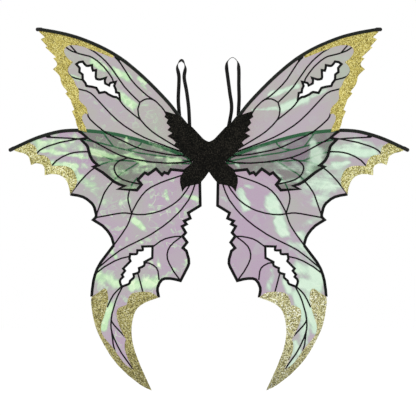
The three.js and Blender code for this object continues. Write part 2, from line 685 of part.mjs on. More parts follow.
/** A lower wing's outlines, at the driving sizes. */
function lowerDrawing() {
  const line = lowerSpar;
  const lead = (from) => stretch(line, from, lengthOf(line) - SHEET_END);
  const draw = (edge) => trace(edge, LOWER_ACROSS);
  const tailOutline = [draw(TAIL_OUTER), draw(TAIL_INNER)];
  return {
    which: 'lower', across: LOWER_ACROSS, level: LOWER_LEVEL, line, socketReach: LOWER_SOCKET_REACH,
    film: loop(lead(LOWER_SHEET_START), draw(LOWER_TIP_EDGE), draw(LOWER_SCALLOPS), draw(LOWER_FLANK),
      ...tailOutline, draw([...LOWER_INNER_EDGE, ...LOWER_ROOT])),
    cutout: loop(draw(LOWER_CUTOUT)),
    edges: [LOWER_SCALLOPS, LOWER_FLANK, [...LOWER_INNER_EDGE, ...LOWER_ROOT]],
    veins: LOWER_VEINS,
    golds: {
      lower_tip_gold: loop(lead(LOWER_GOLD_START), draw(LOWER_TIP_EDGE), draw(LOWER_GOLD_INNER)),
      lower_tail_gold: loop(...tailOutline,
        [...draw(TAIL_GOLD_OUTER_LOBE), ...draw(TAIL_GOLD_INNER_LOBE)].reverse()),
    },
    finish: FILM,
  };
}

// ---------------------------------------------------------------- hub
/** Both sides' lines along a pair of sockets, between two distances from their crossing. */
function socketLines(line, from, to) {
  const right = [shifted(line[0], axisOf(line), from), shifted(line[0], axisOf(line), to)];
  return [right, mirrored(right)];
}

/** The block that all four spars plug into. */
function socketBlock(holes) {
  const upperSockets = socketLines(upperSpar, 0, SOCKET_REACH);
  const lowerSockets = socketLines(lowerSpar, 0, LOWER_SOCKET_REACH);
  const upperBores = socketLines(upperSpar, SOCKET_FLOOR, SOCKET_REACH + CUT_PAST);
  const lowerBores = socketLines(lowerSpar, SOCKET_FLOOR, LOWER_SOCKET_REACH + CUT_PAST);
  return union([
    plate(hubOutline, HUB_REAR, HUB_REAR - HUB_FRONT),
    ...upperSockets.map((line) => rod(line, SOCKET_RADIUS, UPPER_LEVEL)),
    ...upperSockets.map((line) => strip(line, SPAR_DIAMETER, HUB_REAR, HUB_REAR - UPPER_LEVEL)),
    ...lowerSockets.map((line) => rod(line, SOCKET_RADIUS, LOWER_LEVEL)),
  ]).subtract(union([
    ...upperBores.map((line) => rod(line, SLEEVE_BORE, UPPER_LEVEL)),
    ...lowerBores.map((line) => rod(line, SLEEVE_BORE, LOWER_LEVEL)),
    holes(HUB_REAR, HUB_FRONT),
  ]));
}

/** The plate behind the block, with an arm along each upper spar. */
function backPlate(holes) {
  const arm = barLine(0, BAR_END + ARM_PAST_BAR);
  const width = HUB_WIDTH + 2 * PLATE_MARGIN;
  return union([
    plate(roundedRect(width, HUB_BOTTOM, HUB_TOP, HUB_CORNER), PLATE_REAR, PLATE_THICKNESS),
    strip(arm, ARM_WIDTH, PLATE_REAR, PLATE_THICKNESS),
    strip(mirrored(arm), ARM_WIDTH, PLATE_REAR, PLATE_THICKNESS),
  ]).subtract(holes(PLATE_REAR, HUB_REAR));
}

/** A rectangle about the hub's middle. */
const aboutHub = (width, height, corner) =>
  roundedRect(width, HUB_MIDDLE - height / 2, HUB_MIDDLE + height / 2, corner);
const tapeOutline = aboutHub(TAPE_WIDTH, HUB_TOP - HUB_BOTTOM - 2 * TAPE_MARGIN, TAPE_CORNER);

function hub() {
  const screwX = HUB_WIDTH / 2 - SCREW_INSET;
  const screwPlaces = [HUB_TOP - SCREW_TOP_INSET, HUB_BOTTOM + SCREW_INSET]
    .flatMap((z) => [[-screwX, z], [screwX, z]]);
  const holeRadius = SCREW_DIAMETER / 2 + SCREW_CLEARANCE;
  const holes = (rear, front) => union(screwPlaces.map(([x, z]) =>
    post(x, z, holeRadius, rear + CUT_PAST, front - CUT_PAST)));
  const lid = plate(hubOutline, HUB_FRONT, LID_THICKNESS).subtract(holes(HUB_FRONT, LID_FRONT));
  const pad = aboutHub(PAD_WIDTH, PAD_HEIGHT, PAD_CORNER);

  const group = new THREE.Group();
  group.add(piece('back_pad', plate(pad, 0, PAD_THICKNESS), FELT));
  group.add(piece('hub_back_plate', backPlate(holes), MOULDING));
  group.add(piece('hub_socket_block', socketBlock(holes), MOULDING));
  group.add(piece('hub_lid', lid, MOULDING));
  group.add(piece('hub_hook_tape', plate(tapeOutline, LID_FRONT, TAPE_THICKNESS), TAPE));
  screwPlaces.forEach(([x, z], i) => {
    const screw = post(x, z, SCREW_HEAD_DIAMETER / 2, LID_FRONT, LID_FRONT - SCREW_HEAD_HEIGHT)
      .add(post(x, z, SCREW_DIAMETER / 2, PLATE_REAR - END_CLEARANCE, LID_FRONT));
    group.add(piece(`hub_screw_${i + 1}`, screw, STEEL));
  });
  return group;
}

// ---------------------------------------------------------------- cover
function cover() {
  const right = trace(COVER_EDGE, COVER_WIDTH / DRAWN_COVER_WIDTH, COVER_HEIGHT / DRAWN_COVER_HEIGHT);
  const outline = loop(right, mirrored(right).reverse());
  const group = new THREE.Group();
  group.add(piece('cover', plate(outline, COVER_REAR, COVER_THICKNESS), FOAM));
  group.add(piece('cover_loop_tape', plate(tapeOutline, HOOK_FRONT, TAPE_THICKNESS), TAPE));
  return group;
}

// ---------------------------------------------------------------- shoulder straps
/** The line of a strap's wire bar, between two distances along the arm. */
function barLine(from, to) {
  const below = new THREE.Vector2(upperAxis.y, -upperAxis.x).multiplyScalar(ARM_OFFSET);
  return [shifted(below, upperAxis, from), shifted(below, upperAxis, to)];
}

/** The wire staple on the plate's arm that a strap's two ends turn on. */
function strapBar(side) {
  const line = barLine(BAR_START, BAR_END);
  const radius = BAR_DIAMETER / 2;
  const legs = line.map((end) => post(end.x, end.y, radius, BAR_LEVEL, PLATE_REAR, ROUND_SIDES));
  return piece(`strap_bar_${side}`, union([rod(line, radius, BAR_LEVEL), ...legs]), STEEL);
}

/** One elastic loop: a band between two end tubes that turn on the bar, and its stitched lap. */
function strap(side, { top, crestLean }) {
  const bore = BAR_DIAMETER / 2 + BAR_CLEARANCE;
  const tubeRadius = bore + STRAP_THICKNESS;
  const tubeProfile = [
    [bore, 0], [tubeRadius, 0], [tubeRadius, STRAP_WIDTH], [bore, STRAP_WIDTH], [bore, 0],
  ];
  const starts = [BAR_START + TUBE_INSET, BAR_END - TUBE_INSET - STRAP_WIDTH];
  const tubes = starts.map((start) =>
    turned(tubeProfile, barLine(start, BAR_END)[0], upperAxis, BAR_LEVEL));
  const away = new THREE.Vector2(-upperAxis.y, upperAxis.x).multiplyScalar((bore + tubeRadius) / 2);
  const ends = starts.map((start) => barLine(start + STRAP_WIDTH / 2, BAR_END)[0].add(away));
  const through = [ends[0], ...top.map(([x, z]) => new THREE.Vector2(x, z)), ends[1]];
  const path = new THREE.SplineCurve(through).getSpacedPoints(STRAP_STEPS);
  const loopBand = band(path, upperAxis, crestLean, BAR_LEVEL);
  const shaftRoom = rod(barLine(BAR_START, BAR_END), bore, BAR_LEVEL);

  const seamStart = lengthOf(path) - SEAM_START;
  const seamLevel = BAR_LEVEL - (STRAP_THICKNESS + SEAM_THICKNESS) / 2;
  const seam = strip(stretch(path, seamStart, seamStart + SEAM_LENGTH), STRAP_WIDTH,
    seamLevel + SEAM_THICKNESS / 2, SEAM_THICKNESS);
  return [
    piece(`strap_${side}`, union([loopBand, ...tubes]).subtract(shaftRoom), ELASTIC),
    piece(`strap_lap_${side}`, seam, ELASTIC),
  ];
}

// ---------------------------------------------------------------- the whole
const wings = new THREE.Group();
wings.name = 'fairy_wings';
wings.add(hub(), cover());
for (const side of ['right', 'left']) {
  const half = new THREE.Group();
  half.scale.x = side === 'left' ? -1 : 1;
  half.add(wing(upperDrawing(), side), wing(lowerDrawing(), side));
  half.add(strapBar(side), ...strap(side, STRAPS[side]));
  wings.add(half);
}

export default wings;
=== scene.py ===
"""Fairy wings: the looks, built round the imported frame. Metres, +Z up, -Y is the outer face."""

import json
import math

import bmesh
import bpy
import numpy as np
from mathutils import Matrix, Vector, noise
from mathutils.bvhtree import BVHTree
from mathutils.geometry import delaunay_2d_cdt


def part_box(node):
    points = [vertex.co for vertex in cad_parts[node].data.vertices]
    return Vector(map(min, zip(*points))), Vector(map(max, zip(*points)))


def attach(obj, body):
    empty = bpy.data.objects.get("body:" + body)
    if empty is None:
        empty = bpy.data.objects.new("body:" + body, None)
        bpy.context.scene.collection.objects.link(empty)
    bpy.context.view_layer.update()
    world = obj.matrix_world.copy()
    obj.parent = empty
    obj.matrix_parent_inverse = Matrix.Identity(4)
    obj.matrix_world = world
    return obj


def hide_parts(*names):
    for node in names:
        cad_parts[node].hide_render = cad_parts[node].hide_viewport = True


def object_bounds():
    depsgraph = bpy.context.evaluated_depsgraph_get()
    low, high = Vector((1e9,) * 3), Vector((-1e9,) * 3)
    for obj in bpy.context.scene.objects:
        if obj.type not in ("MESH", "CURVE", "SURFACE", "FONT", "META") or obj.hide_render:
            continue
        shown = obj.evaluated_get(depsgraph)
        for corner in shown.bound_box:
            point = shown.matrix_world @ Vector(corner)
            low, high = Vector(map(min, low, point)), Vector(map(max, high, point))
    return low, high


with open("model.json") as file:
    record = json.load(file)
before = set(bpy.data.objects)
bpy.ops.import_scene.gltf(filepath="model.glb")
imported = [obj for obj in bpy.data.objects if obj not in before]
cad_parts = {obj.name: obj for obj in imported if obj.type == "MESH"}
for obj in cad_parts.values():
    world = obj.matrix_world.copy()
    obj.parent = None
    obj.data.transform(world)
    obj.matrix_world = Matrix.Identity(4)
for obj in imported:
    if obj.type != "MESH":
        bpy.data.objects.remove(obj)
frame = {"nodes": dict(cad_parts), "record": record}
cad_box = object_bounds()

MM = 0.001
SIDES = {"left": -1, "right": 1}
WINGS = ("upper", "lower")

# ------------------------------------------------------------------ sizes
REAR = Vector((0, 1, 0))  # towards the wearer's back
WELD = 1e-6  # within which two corners are one
SHARP_ANGLE = math.radians(50)  # edges that are sharper than this are rounded

FILM_GRID = 5.5 * MM  # between the film's inner points
TRIM_STEP = 3.5 * MM  # between points along the edges of film, web and gold
TRIM_GRID = 3 * MM  # between the inner points of web and gold
TRIM_GAP = 0.08 * MM  # between the film and what is bonded to it
ROW_SHARE = 0.87  # of a grid's step, between its rows
BORDER_SHARE = 0.55  # of a grid's step, that its points keep from the edge
FILM_BULGE = 1.6 * MM  # of the film's slow waves
FILM_CREASE = 0.55 * MM  # of its sharp creases
WAVE_RATE, RIDGE_RATE, FOLD_RATE = 16, 38, 70  # of its waves, ridges and folds, in a metre
SEED_STEP = 2.7  # between the upper and the lower film's creases
VEIN_RAISE = 0.45 * MM
GOLD_RAISE = 0.6 * MM
TAIL_TIP_Z = -0.53  # the tails' glitter darkens from the second of these heights to the first
TAIL_FADE_Z = -0.42

FAN_CENTRE_Z = -0.02  # the middle from which the creases fan out
FAN_TURN, FAN_REACH = 30, 9  # streaks of noise in a radian, and in a metre along the creases
FAN_SIDE = 3.0  # between the left and the right wings' streaks
GLOW_FALL = 0.7  # how fast a streak of light falls off past its half width

SPAR_STEP = 4 * MM  # between points along a spar
SPAR_RING_GAP = 5 * MM  # the least distance between two rings of a CAD rod's corners
SLEEVE_RADIUS = 3.9 * MM
SLEEVE_WAVE = 0.12 * MM  # of the sleeve's uneven width
SLEEVE_RATE = 130  # of its waves, in a metre
SLEEVE_TUCK = 2 * MM  # of the sleeve, inside its tip cap
RIB_PLACE, RIB_WIDTH = 0.8, 0.1  # of the rubbed ribs and their painted sheen, in shares of the sleeve's radius
SEAM_REACH = 6.4 * MM  # from a spar's middle, within which a sheet's edge is sewn into its sleeve
SEAM_DEPTH = 3.2 * MM  # of that edge, from the spar's middle
ROD_RADIUS = 2.3 * MM
CAP_RADIUS = 4.4 * MM
CAP_LENGTH = 14 * MM
CAP_CLOSURE = 1.7 * MM  # of the cap, past the rod's end
CAP_SIDES = 24
CAP_PROFILE = [  # distance back from the cap's end, and share of its radius
    (CAP_LENGTH, 0.93), (CAP_LENGTH * 0.94, 1), (CAP_LENGTH * 0.6, 0.99), (3.6 * MM, 0.97),
    (2.2 * MM, 0.88), (1.1 * MM, 0.68), (0.4 * MM, 0.4), (0, 0.08),
]

COVER_ROUND = 0.8 * MM
COVER_GRID = 4 * MM
COVER_SWELL = 0.5 * MM
COVER_RATE = 25  # of its swells, in a metre
PAD_COLUMNS, PAD_RINGS = 72, 12  # points round the pad, and rings on each of its faces
PAD_SQUARENESS = 0.42  # 1 is an oval, and 0 is a rectangle
PAD_CROWN = 0.98  # of the pad's thickness
PAD_DENT = 0.15 * MM
PAD_RATE = 90  # of its dents, in a metre
PAD_SEAM_INSET = 5 * MM  # of the pad's row of stitches, from its sides
PAD_SEAM_POINTS = 96
THREAD_SIDES = 6
THREAD_PROFILE = [  # shares of a thread's length, and of its radius
    (0, 0.3), (0.15, 0.9), (0.5, 1), (0.85, 0.9), (1, 0.3),
]

STRAP_WIDTH = 8 * MM
STRAP_THICKNESS = 1.3 * MM
STRAP_STEP = 1.6 * MM  # between points along the elastic
STRAP_SECTION = [  # shares of half the elastic's width, and of half its thickness
    (-1, -0.8), (-0.96, -1), (0, -1), (0.96, -1), (1, -0.8),
    (1, 0.8), (0.96, 1), (0, 1), (-0.96, 1), (-1, 0.8),
]
SQUARE_POINTS = 5  # at each end, over which the elastic turns square to its bar
TWIST_START, TWIST_END = 8, 34  # millimetres from the crest, where it turns from edge-on to flat
LEAN_END = 13  # millimetres from the crest, where it no longer leans
BAR_RADIUS = 1.5 * MM
WRAP_RADIUS = 2.6 * MM  # from the bar's middle to the middle of the elastic round it
STRAND_INSET = 7.9 * MM  # from each end of the bar to the middle of the strand round it
RING_SIDES = 28
RING_PROFILE = [  # of the elastic round its bar, in millimetres: along the bar, and out from it
    (-4.2, 1.9), (-4.2, 3.0), (-3.9, 3.2), (3.9, 3.2), (4.2, 3.0), (4.2, 1.9),
]
LAP_SEAM_INSET = 3 * MM  # of a row of stitches, from the lap's end
LAP_SEAM_HALF = 3 * MM  # of that row's length

# ------------------------------------------------------------------ node helpers


def new_material(name):
    """An empty node material with its output, and a function that adds nodes to it."""
    material = bpy.data.materials.new(name)
    material.use_nodes = True
    tree = material.node_tree
    tree.nodes.clear()
    output = tree.nodes.new("ShaderNodeOutputMaterial")

    def add(kind, **values):
        """Adds a node. Each key is p_ and a property, i and an input's number, or its name.

        A socket given as a value is linked, and anything else is set.
        """
        node = tree.nodes.new(f"ShaderNode{kind}")
        for key, value in values.items():
            if key.startswith("p_"):
                setattr(node, key[2:], value)
                continue
            numbered = key[0] == "i" and key[1:].isdigit()
            socket = node.inputs[int(key[1:]) if numbered else key.replace("_", " ")]
            if isinstance(value, bpy.types.NodeSocket):
                tree.links.new(value, socket)
            else:
                socket.default_value = value
        return node

    return material, output, add, tree.links.new


def ramp(add, source, stops):
    """A colour ramp through (position, colour) stops."""
    node = add("ValToRGB", i0=source)
    elements = node.color_ramp.elements
    while len(elements) < len(stops):
        elements.new(0.5)
    for element, (position, color) in zip(elements, stops):
        element.position = position
        element.color = (*color, 1)
    return node.outputs[0]


def plus(add, base, share, value):
    """A base and a share of a value."""
    return add("Math", p_operation="MULTIPLY_ADD", i0=value, i1=share, i2=base).outputs[0]


def product(add, first, second):
    """Two numbers multiplied."""
    return add("Math", p_operation="MULTIPLY", i0=first, i1=second).outputs[0]


def larger(add, first, second):
    """The larger of two numbers."""
    return add("Math", p_operation="MAXIMUM", i0=first, i1=second).outputs[0]


def mixed_color(add, share, first, second, blend="MIX"):
    """The second colour over the first, by a share."""
    return add("Mix", p_data_type="RGBA", p_blend_type=blend, i0=share, i6=first,
               i7=second).outputs[2]


def ranged(add, value, start, end, low, high, easing="LINEAR"):
    """A value's range from start to end, brought to low to high."""
    return add("MapRange", Value=value, From_Min=start, From_Max=end, To_Min=low, To_Max=high,
               p_interpolation_type=easing).outputs[0]


# ------------------------------------------------------------------ materials


def film_material(name, lilac, hues, mint_glint_gain, spark_gain, wrinkle_glint_gain, facet_scale,
                  facet_share):
    """Iridescent film: lets lilac light through and sends green light back, with painted mint
    reflections and glints.
    """
    material, output, add, link = new_material(name)
    glow = add("Attribute", p_attribute_name="glow").outputs["Fac"]
    blush = add("Attribute", p_attribute_name="blush").outputs["Fac"]
    radial = add("Attribute", p_attribute_name="radial").outputs["Vector"]
    place = add("TexCoord").outputs["Object"]

    # Slow drifts, cloudy patches, streaks along the creases, and the facets of crumpled film.
    drift = add("TexNoise", Vector=place, Scale=8, Detail=2).outputs["Fac"]
    cloud = add("TexNoise", Vector=place, Scale=26, Detail=3, Roughness=0.55,
                Distortion=0.8).outputs["Fac"]
    streak = add("TexNoise", Vector=radial, Scale=1, Detail=3, Roughness=0.6).outputs["Fac"]
    swirl = add("TexNoise", Vector=place, Scale=22, Detail=2).outputs["Color"]
    pushed = add("VectorMath", p_operation="MULTIPLY_ADD", i0=swirl, i1=(0.03, 0.03, 0.03),
                 i2=place).outputs[0]
    facets = add("TexVoronoi", Vector=pushed, Scale=facet_scale, p_feature="SMOOTH_F1",
                 Smoothness=0.35)
    edges = add("TexVoronoi", Vector=pushed, Scale=facet_scale * 0.6,
                p_feature="DISTANCE_TO_EDGE").outputs[0]
    facet = add("SeparateColor", Color=facets.outputs["Color"]).outputs[0]
    slope = plus(add, facet, 0.4, facets.outputs["Distance"])

    # How strongly the film's painted reflections show: the painted mint glows broken up, with
    # painted sparks and painted glints along the wrinkles.
    tilted = add("Mix", i0=facet_share, i2=cloud, i3=slope).outputs[0]
    broken = plus(add, glow, 0.42, tilted)
    torn = plus(add, broken, 0.7, cloud)
    drawn = plus(add, torn, 0.5, streak)
    mint = ranged(add, drawn, 1.12, 1.62, 0, mint_glint_gain, "SMOOTHSTEP")
    sparks = plus(add, slope, 0.5, streak)
    spark = ranged(add, sparks, 1.2, 1.5, 0, spark_gain, "SMOOTHSTEP")
    line = ranged(add, edges, 0, 0.05, wrinkle_glint_gain, 0)
    crumple_glint_mask = ranged(add, cloud, 0.5, 0.62, 0, 1)
    wrinkle_glint = product(add, line, crumple_glint_mask)
    bright = larger(add, larger(add, mint, spark), wrinkle_glint)

    # The light let through and the light sent back, both made paler and greener where the
    # reflections and glints are painted.
    mottled = plus(add, plus(add, drift, 0.5, cloud), 0.35, blush)
    tint = ramp(add, mottled, [(0.55, lilac[0]), (0.75, lilac[1]), (0.95, lilac[2])])
    clear = mixed_color(add, bright, tint, (0.8, 0.86, 0.8, 1))
    shown = add("Mix", i0=facet_share, i2=streak, i3=facet).outputs[0]
    hue = ramp(add, shown, [(0.1, hues[0]), (0.4, hues[1]), (0.7, hues[2]), (0.95, hues[3])])
    # Painted highlights along the wrinkles, in a pale yellow-green.
    hot = mixed_color(add, wrinkle_glint, hue, (0.92, 0.98, 0.68, 1))
    back = mixed_color(add, bright, (0.05, 0.24, 0.1, 1), hot)
    through = add("BsdfTransparent", Color=clear)
    bump = add("Bump", Strength=0.5, Distance=0.003, Height=plus(add, cloud, 0.6, slope))
    sheen = add("BsdfPrincipled", Base_Color=back, Roughness=0.16, Normal=bump.outputs[0],
                Specular_IOR_Level=0.35)
    share = ranged(add, bright, 0, 1, 0.36, 0.8)
    both = add("MixShader", i0=share, i1=through.outputs[0], i2=sheen.outputs[0])
    link(both.outputs[0], output.inputs["Surface"])
    return material


def glitter_material(name, shades, cell, rough, metal, spread, gloss=0.25, tint=(1, 1, 1),
                     tip_shade=1):
    """Glitter: small flakes, each with its own shade and tilt, and darker at the tail's tip."""
    material, output, add, link = new_material(name)
    place = add("TexCoord").outputs["Object"]
    flakes = add("TexVoronoi", Vector=place, Scale=1 / cell)
    pick = add("SeparateColor", Color=flakes.outputs["Color"]).outputs
    patches = add("TexNoise", Vector=place, Scale=28, Detail=3).outputs["Fac"]
    shade = plus(add, pick[0], spread, patches)
    moved = add("Math", p_operation="SUBTRACT", i0=shade, i1=spread / 2).outputs[0]
    height = add("SeparateXYZ", Vector=place).outputs["Z"]
    darker = ranged(add, height, TAIL_TIP_Z, TAIL_FADE_Z, tip_shade, 1)
    toned = add("VectorMath", p_operation="SCALE", i0=tint, Scale=darker).outputs[0]
    color = mixed_color(add, 1.0, ramp(add, moved, shades), toned, "MULTIPLY")
    tilt = add("Bump", Strength=0.55, Distance=0.0006, Height=pick[1])
    body = add("BsdfPrincipled", Base_Color=color, Normal=tilt.outputs[0],
               Roughness=ranged(add, pick[2], 0, 1, rough[0], rough[1]), Metallic=metal,
               Specular_IOR_Level=gloss)
    link(body.outputs[0], output.inputs["Surface"])
    return material


def cloth_material(name, dark, light, thread, rough=0.85, weave=True, sheen=0.1, rubbed=None):
    """Black cloth: crossed threads, or short felted fibres; its ribs may be rubbed lighter, with a
    painted sheen.
    """
    material, output, add, link = new_material(name)
    place = add("TexCoord").outputs["Object"]
    if weave:
        warp, weft = (
            add("TexWave", Vector=place, Scale=1 / thread, Distortion=0.6,
                p_bands_direction=run).outputs["Fac"]
            for run in "XZ"
        )
        height = larger(add, warp, weft)
    else:
        height = add("TexNoise", Vector=place, Scale=1 / thread, Detail=5,
                     Roughness=0.75).outputs["Fac"]
    wear = add("TexNoise", Vector=place, Scale=40, Detail=4).outputs["Fac"]
    color = ramp(add, product(add, height, wear), [(0.15, dark), (0.65, light)])
    # Rubbed ribs: lighter flecks that are partly wear and partly a painted sheen.
    if rubbed:
        rib = add("Attribute", p_attribute_name="rib").outputs["Fac"]
        fleck = add("TexNoise", Vector=place, Scale=420, Detail=2).outputs["Fac"]
        worn_and_sheen = ranged(add, fleck, 0.42, 0.6, 0, 1)
        color = mixed_color(add, product(add, rib, worn_and_sheen), color, (*rubbed, 1))
    bump = add("Bump", Strength=0.5, Distance=0.0004, Height=height)
    body = add("BsdfPrincipled", Base_Color=color, Normal=bump.outputs[0], Roughness=rough,
               Specular_IOR_Level=0.12, Sheen_Weight=sheen, Sheen_Roughness=0.5)
    link(body.outputs[0], output.inputs["Surface"])
    return material


def hard_material(name, dark, light, rough, metal=0.0, grain=900):
    """Moulded plastic, rubber or plated wire: fine grain, and rubbed lighter in patches."""
    material, output, add, link = new_material(name)
    place = add("TexCoord").outputs["Object"]
    fine = add("TexNoise", Vector=place, Scale=grain, Detail=2).outputs["Fac"]
    rubbed = add("TexNoise", Vector=place, Scale=60, Detail=4, Roughness=0.65).outputs["Fac"]
    color = ramp(add, rubbed, [(0.4, dark), (0.75, light)])
    bump = add("Bump", Strength=0.25, Distance=0.0002, Height=fine)
    body = add("BsdfPrincipled", Base_Color=color, Normal=bump.outputs[0],
               Roughness=ranged(add, rubbed, 0, 1, rough * 0.8, min(1, rough * 1.25)),
               Metallic=metal, Specular_IOR_Level=0.5 if metal else 0.2)
    link(body.outputs[0], output.inputs["Surface"])
    return material


UPPER_LILACS = [(0.66, 0.57, 0.56), (0.71, 0.54, 0.61), (0.73, 0.5, 0.67)]
LOWER_LILACS = [(0.68, 0.55, 0.6), (0.72, 0.49, 0.66), (0.72, 0.43, 0.68)]
# Green and pale mints: the colours of the painted reflections on the film.
GREEN_MINTS = [(0.3, 0.58, 0.24), (0.43, 0.69, 0.34), (0.55, 0.77, 0.45), (0.76, 0.87, 0.52)]
PALE_MINTS = [(0.42, 0.62, 0.44), (0.5, 0.69, 0.52), (0.58, 0.74, 0.58), (0.64, 0.78, 0.6)]
GOLD_SHADES = [(0.0, (0.1, 0.08, 0.02)), (0.35, (0.44, 0.38, 0.14)), (0.75, (0.72, 0.66, 0.32)),
               (1.0, (1.0, 1.0, 0.85))]
TAIL_SHADES = [(0.0, (0.05, 0.04, 0.01)), (0.45, (0.4, 0.36, 0.15)), (0.8, (0.72, 0.68, 0.36)),
               (1.0, (1.0, 1.0, 0.9))]
GOLD_CELL = 0.0016  # metres across one flake
GOLD_ROUGH = (0.35, 0.7)
FILMS = {  # lilacs, mints, gains of the painted mint glows, sparks and wrinkle glints, facets: scale and share
    "upper_film_left": (UPPER_LILACS, GREEN_MINTS, 0.9, 0.3, 0.35, 80, 0.6),
    "upper_film_right": (UPPER_LILACS, PALE_MINTS, 0.9, 0.1, 0.15, 46, 0.3),
    "lower_film_left": (LOWER_LILACS, GREEN_MINTS, 0.95, 0.5, 0.7, 80, 0.5),
    "lower_film_right": (LOWER_LILACS, PALE_MINTS, 0.95, 0.12, 0.25, 46, 0.3),
}
MATERIALS = {name: film_material(name, *look) for name, look in FILMS.items()}
MATERIALS |= {
    "upper_gold": glitter_material("upper_gold", GOLD_SHADES, 0.0013, GOLD_ROUGH, 0.2, 0.3,
                                   tint=(0.78, 0.73, 0.38)),
    "tip_gold": glitter_material("tip_gold", TAIL_SHADES, 0.0015, GOLD_ROUGH, 0.2, 0.5,
                                 tint=(0.87, 0.87, 0.66)),
    "tail_gold_left": glitter_material("tail_gold_left", TAIL_SHADES, GOLD_CELL, GOLD_ROUGH, 0.2,
                                       0.2, tint=(0.64, 0.62, 0.45), tip_shade=0.62),
    "tail_gold_right": glitter_material("tail_gold_right", TAIL_SHADES, GOLD_CELL, GOLD_ROUGH, 0.2,
                                        0.4, tint=(0.88, 0.9, 0.9), tip_shade=0.56),
    "flock": cloth_material("black_flock", (0.002, 0.002, 0.002), (0.012, 0.014, 0.012), 0.0006,
                            weave=False, sheen=0.02),
    "cover": glitter_material(
        "cover_foam",
        [(0.1, (0.001, 0.001, 0.001)), (0.8, (0.004, 0.004, 0.003)), (1.0, (0.045, 0.04, 0.03))],
        0.0009, (0.6, 0.9), 0.0, 0.25, gloss=0.05),
    # The sleeve's rubbed colour: wear on its ribs, and a painted sheen.
    "sleeve": cloth_material("spar_sleeve", (0.002, 0.0025, 0.002), (0.014, 0.018, 0.015), 0.0011,
                             rough=0.6, sheen=0.02, rubbed=(0.024, 0.03, 0.018)),
    "elastic": cloth_material("elastic", (0.002, 0.002, 0.002), (0.014, 0.014, 0.013), 0.0012,
                              rough=0.8, sheen=0.02),
    "felt": cloth_material("pad_felt", (0.006, 0.006, 0.006), (0.03, 0.03, 0.031), 0.0009,
                           weave=False, sheen=0.3),
    "tape": cloth_material("fastener_tape", (0.005, 0.005, 0.005), (0.025, 0.025, 0.025), 0.0014,
                           rough=0.95),
    "thread": cloth_material("stitch_thread", (0.03, 0.03, 0.03), (0.09, 0.09, 0.09), 0.0003),
    "moulding": hard_material("moulded_hub", (0.008, 0.008, 0.008), (0.02, 0.02, 0.02), 0.5),
    "rubber": hard_material("rubber_cap", (0.006, 0.006, 0.005), (0.016, 0.016, 0.016), 0.55),
    "rod": hard_material("fibre_rod", (0.01, 0.01, 0.01), (0.03, 0.03, 0.03), 0.3, grain=400),
    "steel": hard_material("plated_steel", (0.42, 0.42, 0.44), (0.6, 0.6, 0.62), 0.3, metal=1.0),
}

# ------------------------------------------------------------------ mesh helpers


def placed(name, data):
    """A new object in the scene, for a mesh, a light or a camera."""
    item = bpy.data.objects.new(name, data)
    bpy.context.scene.collection.objects.link(item)
    return item


def add_object(name, vertices, faces, material, smooth=True):
    """A mesh object in the row frame."""
    mesh = bpy.data.meshes.new(name)
    mesh.from_pydata([tuple(v) for v in vertices], [], [tuple(f) for f in faces])
    mesh.validate()
    mesh.materials.append(material)
    if smooth:
        mesh.shade_smooth()
    else:
        mesh.shade_flat()
    return placed(name, mesh)


def rounded(piece, width, segments):
    """Rounds a piece's sharp edges."""
    bevel = piece.modifiers.new("rounding", "BEVEL")
    bevel.width = width
    bevel.segments = segments
    bevel.limit_method = "ANGLE"
    bevel.angle_limit = SHARP_ANGLE


def skin(rings, sides, first=0, around=False):
    """The quads between rings of points, and from the last ring to the first if around."""
    faces = []
    for ring in range(rings if around else rings - 1):
        here, there = first + ring * sides, first + (ring + 1) % rings * sides
        for k in range(sides):
            after = (k + 1) % sides
            faces.append((here + k, here + after, there + after, there + k))
    return faces


def capped(rings, sides, first=0):
    """The quads between rings of points, with a face over each end."""
    last = first + (rings - 1) * sides
    start, end = range(first, first + sides), range(last, last + sides)
    return [*skin(rings, sides, first), tuple(reversed(start)), tuple(end)]


def circle(middle, across, up, radius, sides):
    """Points round a middle, in the plane of two directions."""
    angles = [2 * math.pi * k / sides for k in range(sides)]
    return [middle + (across * math.cos(a) + up * math.sin(a)) * radius for a in angles]


def finish_piece(piece, body, slot, *nodes):
    """Ties a piece to its body and hides the CAD nodes that it stands for; its slot, the finish, is
    not used.
    """
    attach(piece, body)
    if nodes:
        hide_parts(*nodes)
    return piece


def outlines(node):
    """The closed outlines of a flat CAD node's front face, as (x, z) arrays."""
    mesh = frame["nodes"][node].data
    keys, place, index = {}, [], []
    for vertex in mesh.vertices:
        key = tuple(round(c / WELD) for c in vertex.co)
        if key not in keys:
            keys[key] = len(place)
            place.append((vertex.co.x, vertex.co.z))
        index.append(keys[key])
    directed = set()
    for polygon in mesh.polygons:
        if polygon.normal.y > -0.9:  # not part of the flat front
            continue
        corners = [index[v] for v in polygon.vertices]
        directed.update(zip(corners, corners[1:] + corners[:1]))
    following = {}
    for a, b in directed:
        if (b, a) not in directed and a != b:
            following.setdefault(a, []).append(b)
    loops = []
    while following:
        start = min(following)
        loop, at = [], start
        while at in following:
            loop.append(at)
            onward = following[at].pop()
            if not following[at]:
                del following[at]
            at = onward
        if len(loop) > 2:
            loops.append(np.array([place[i] for i in loop]))
    return loops


def stepped(loop, step):
    """A closed outline with points no further apart than the step."""
    points = []
    for a, b in zip(loop, np.roll(loop, -1, axis=0)):
        pieces = max(1, math.ceil(np.linalg.norm(b - a) / step))
        points.extend(a + (b - a) * (i / pieces) for i in range(pieces))
    return np.array(points)


def inside(points, loops):
    """Which points lie inside the outlines, by counting crossings."""
    odd = np.zeros(len(points), bool)
    x, z = points[:, 0], points[:, 1]
    for loop in loops:
        for (ax, az), (bx, bz) in zip(loop, np.roll(loop, -1, axis=0)):
            if az != bz:
                odd ^= ((az > z) != (bz > z)) & (x < (bx - ax) * (z - az) / (bz - az) + ax)
    return odd


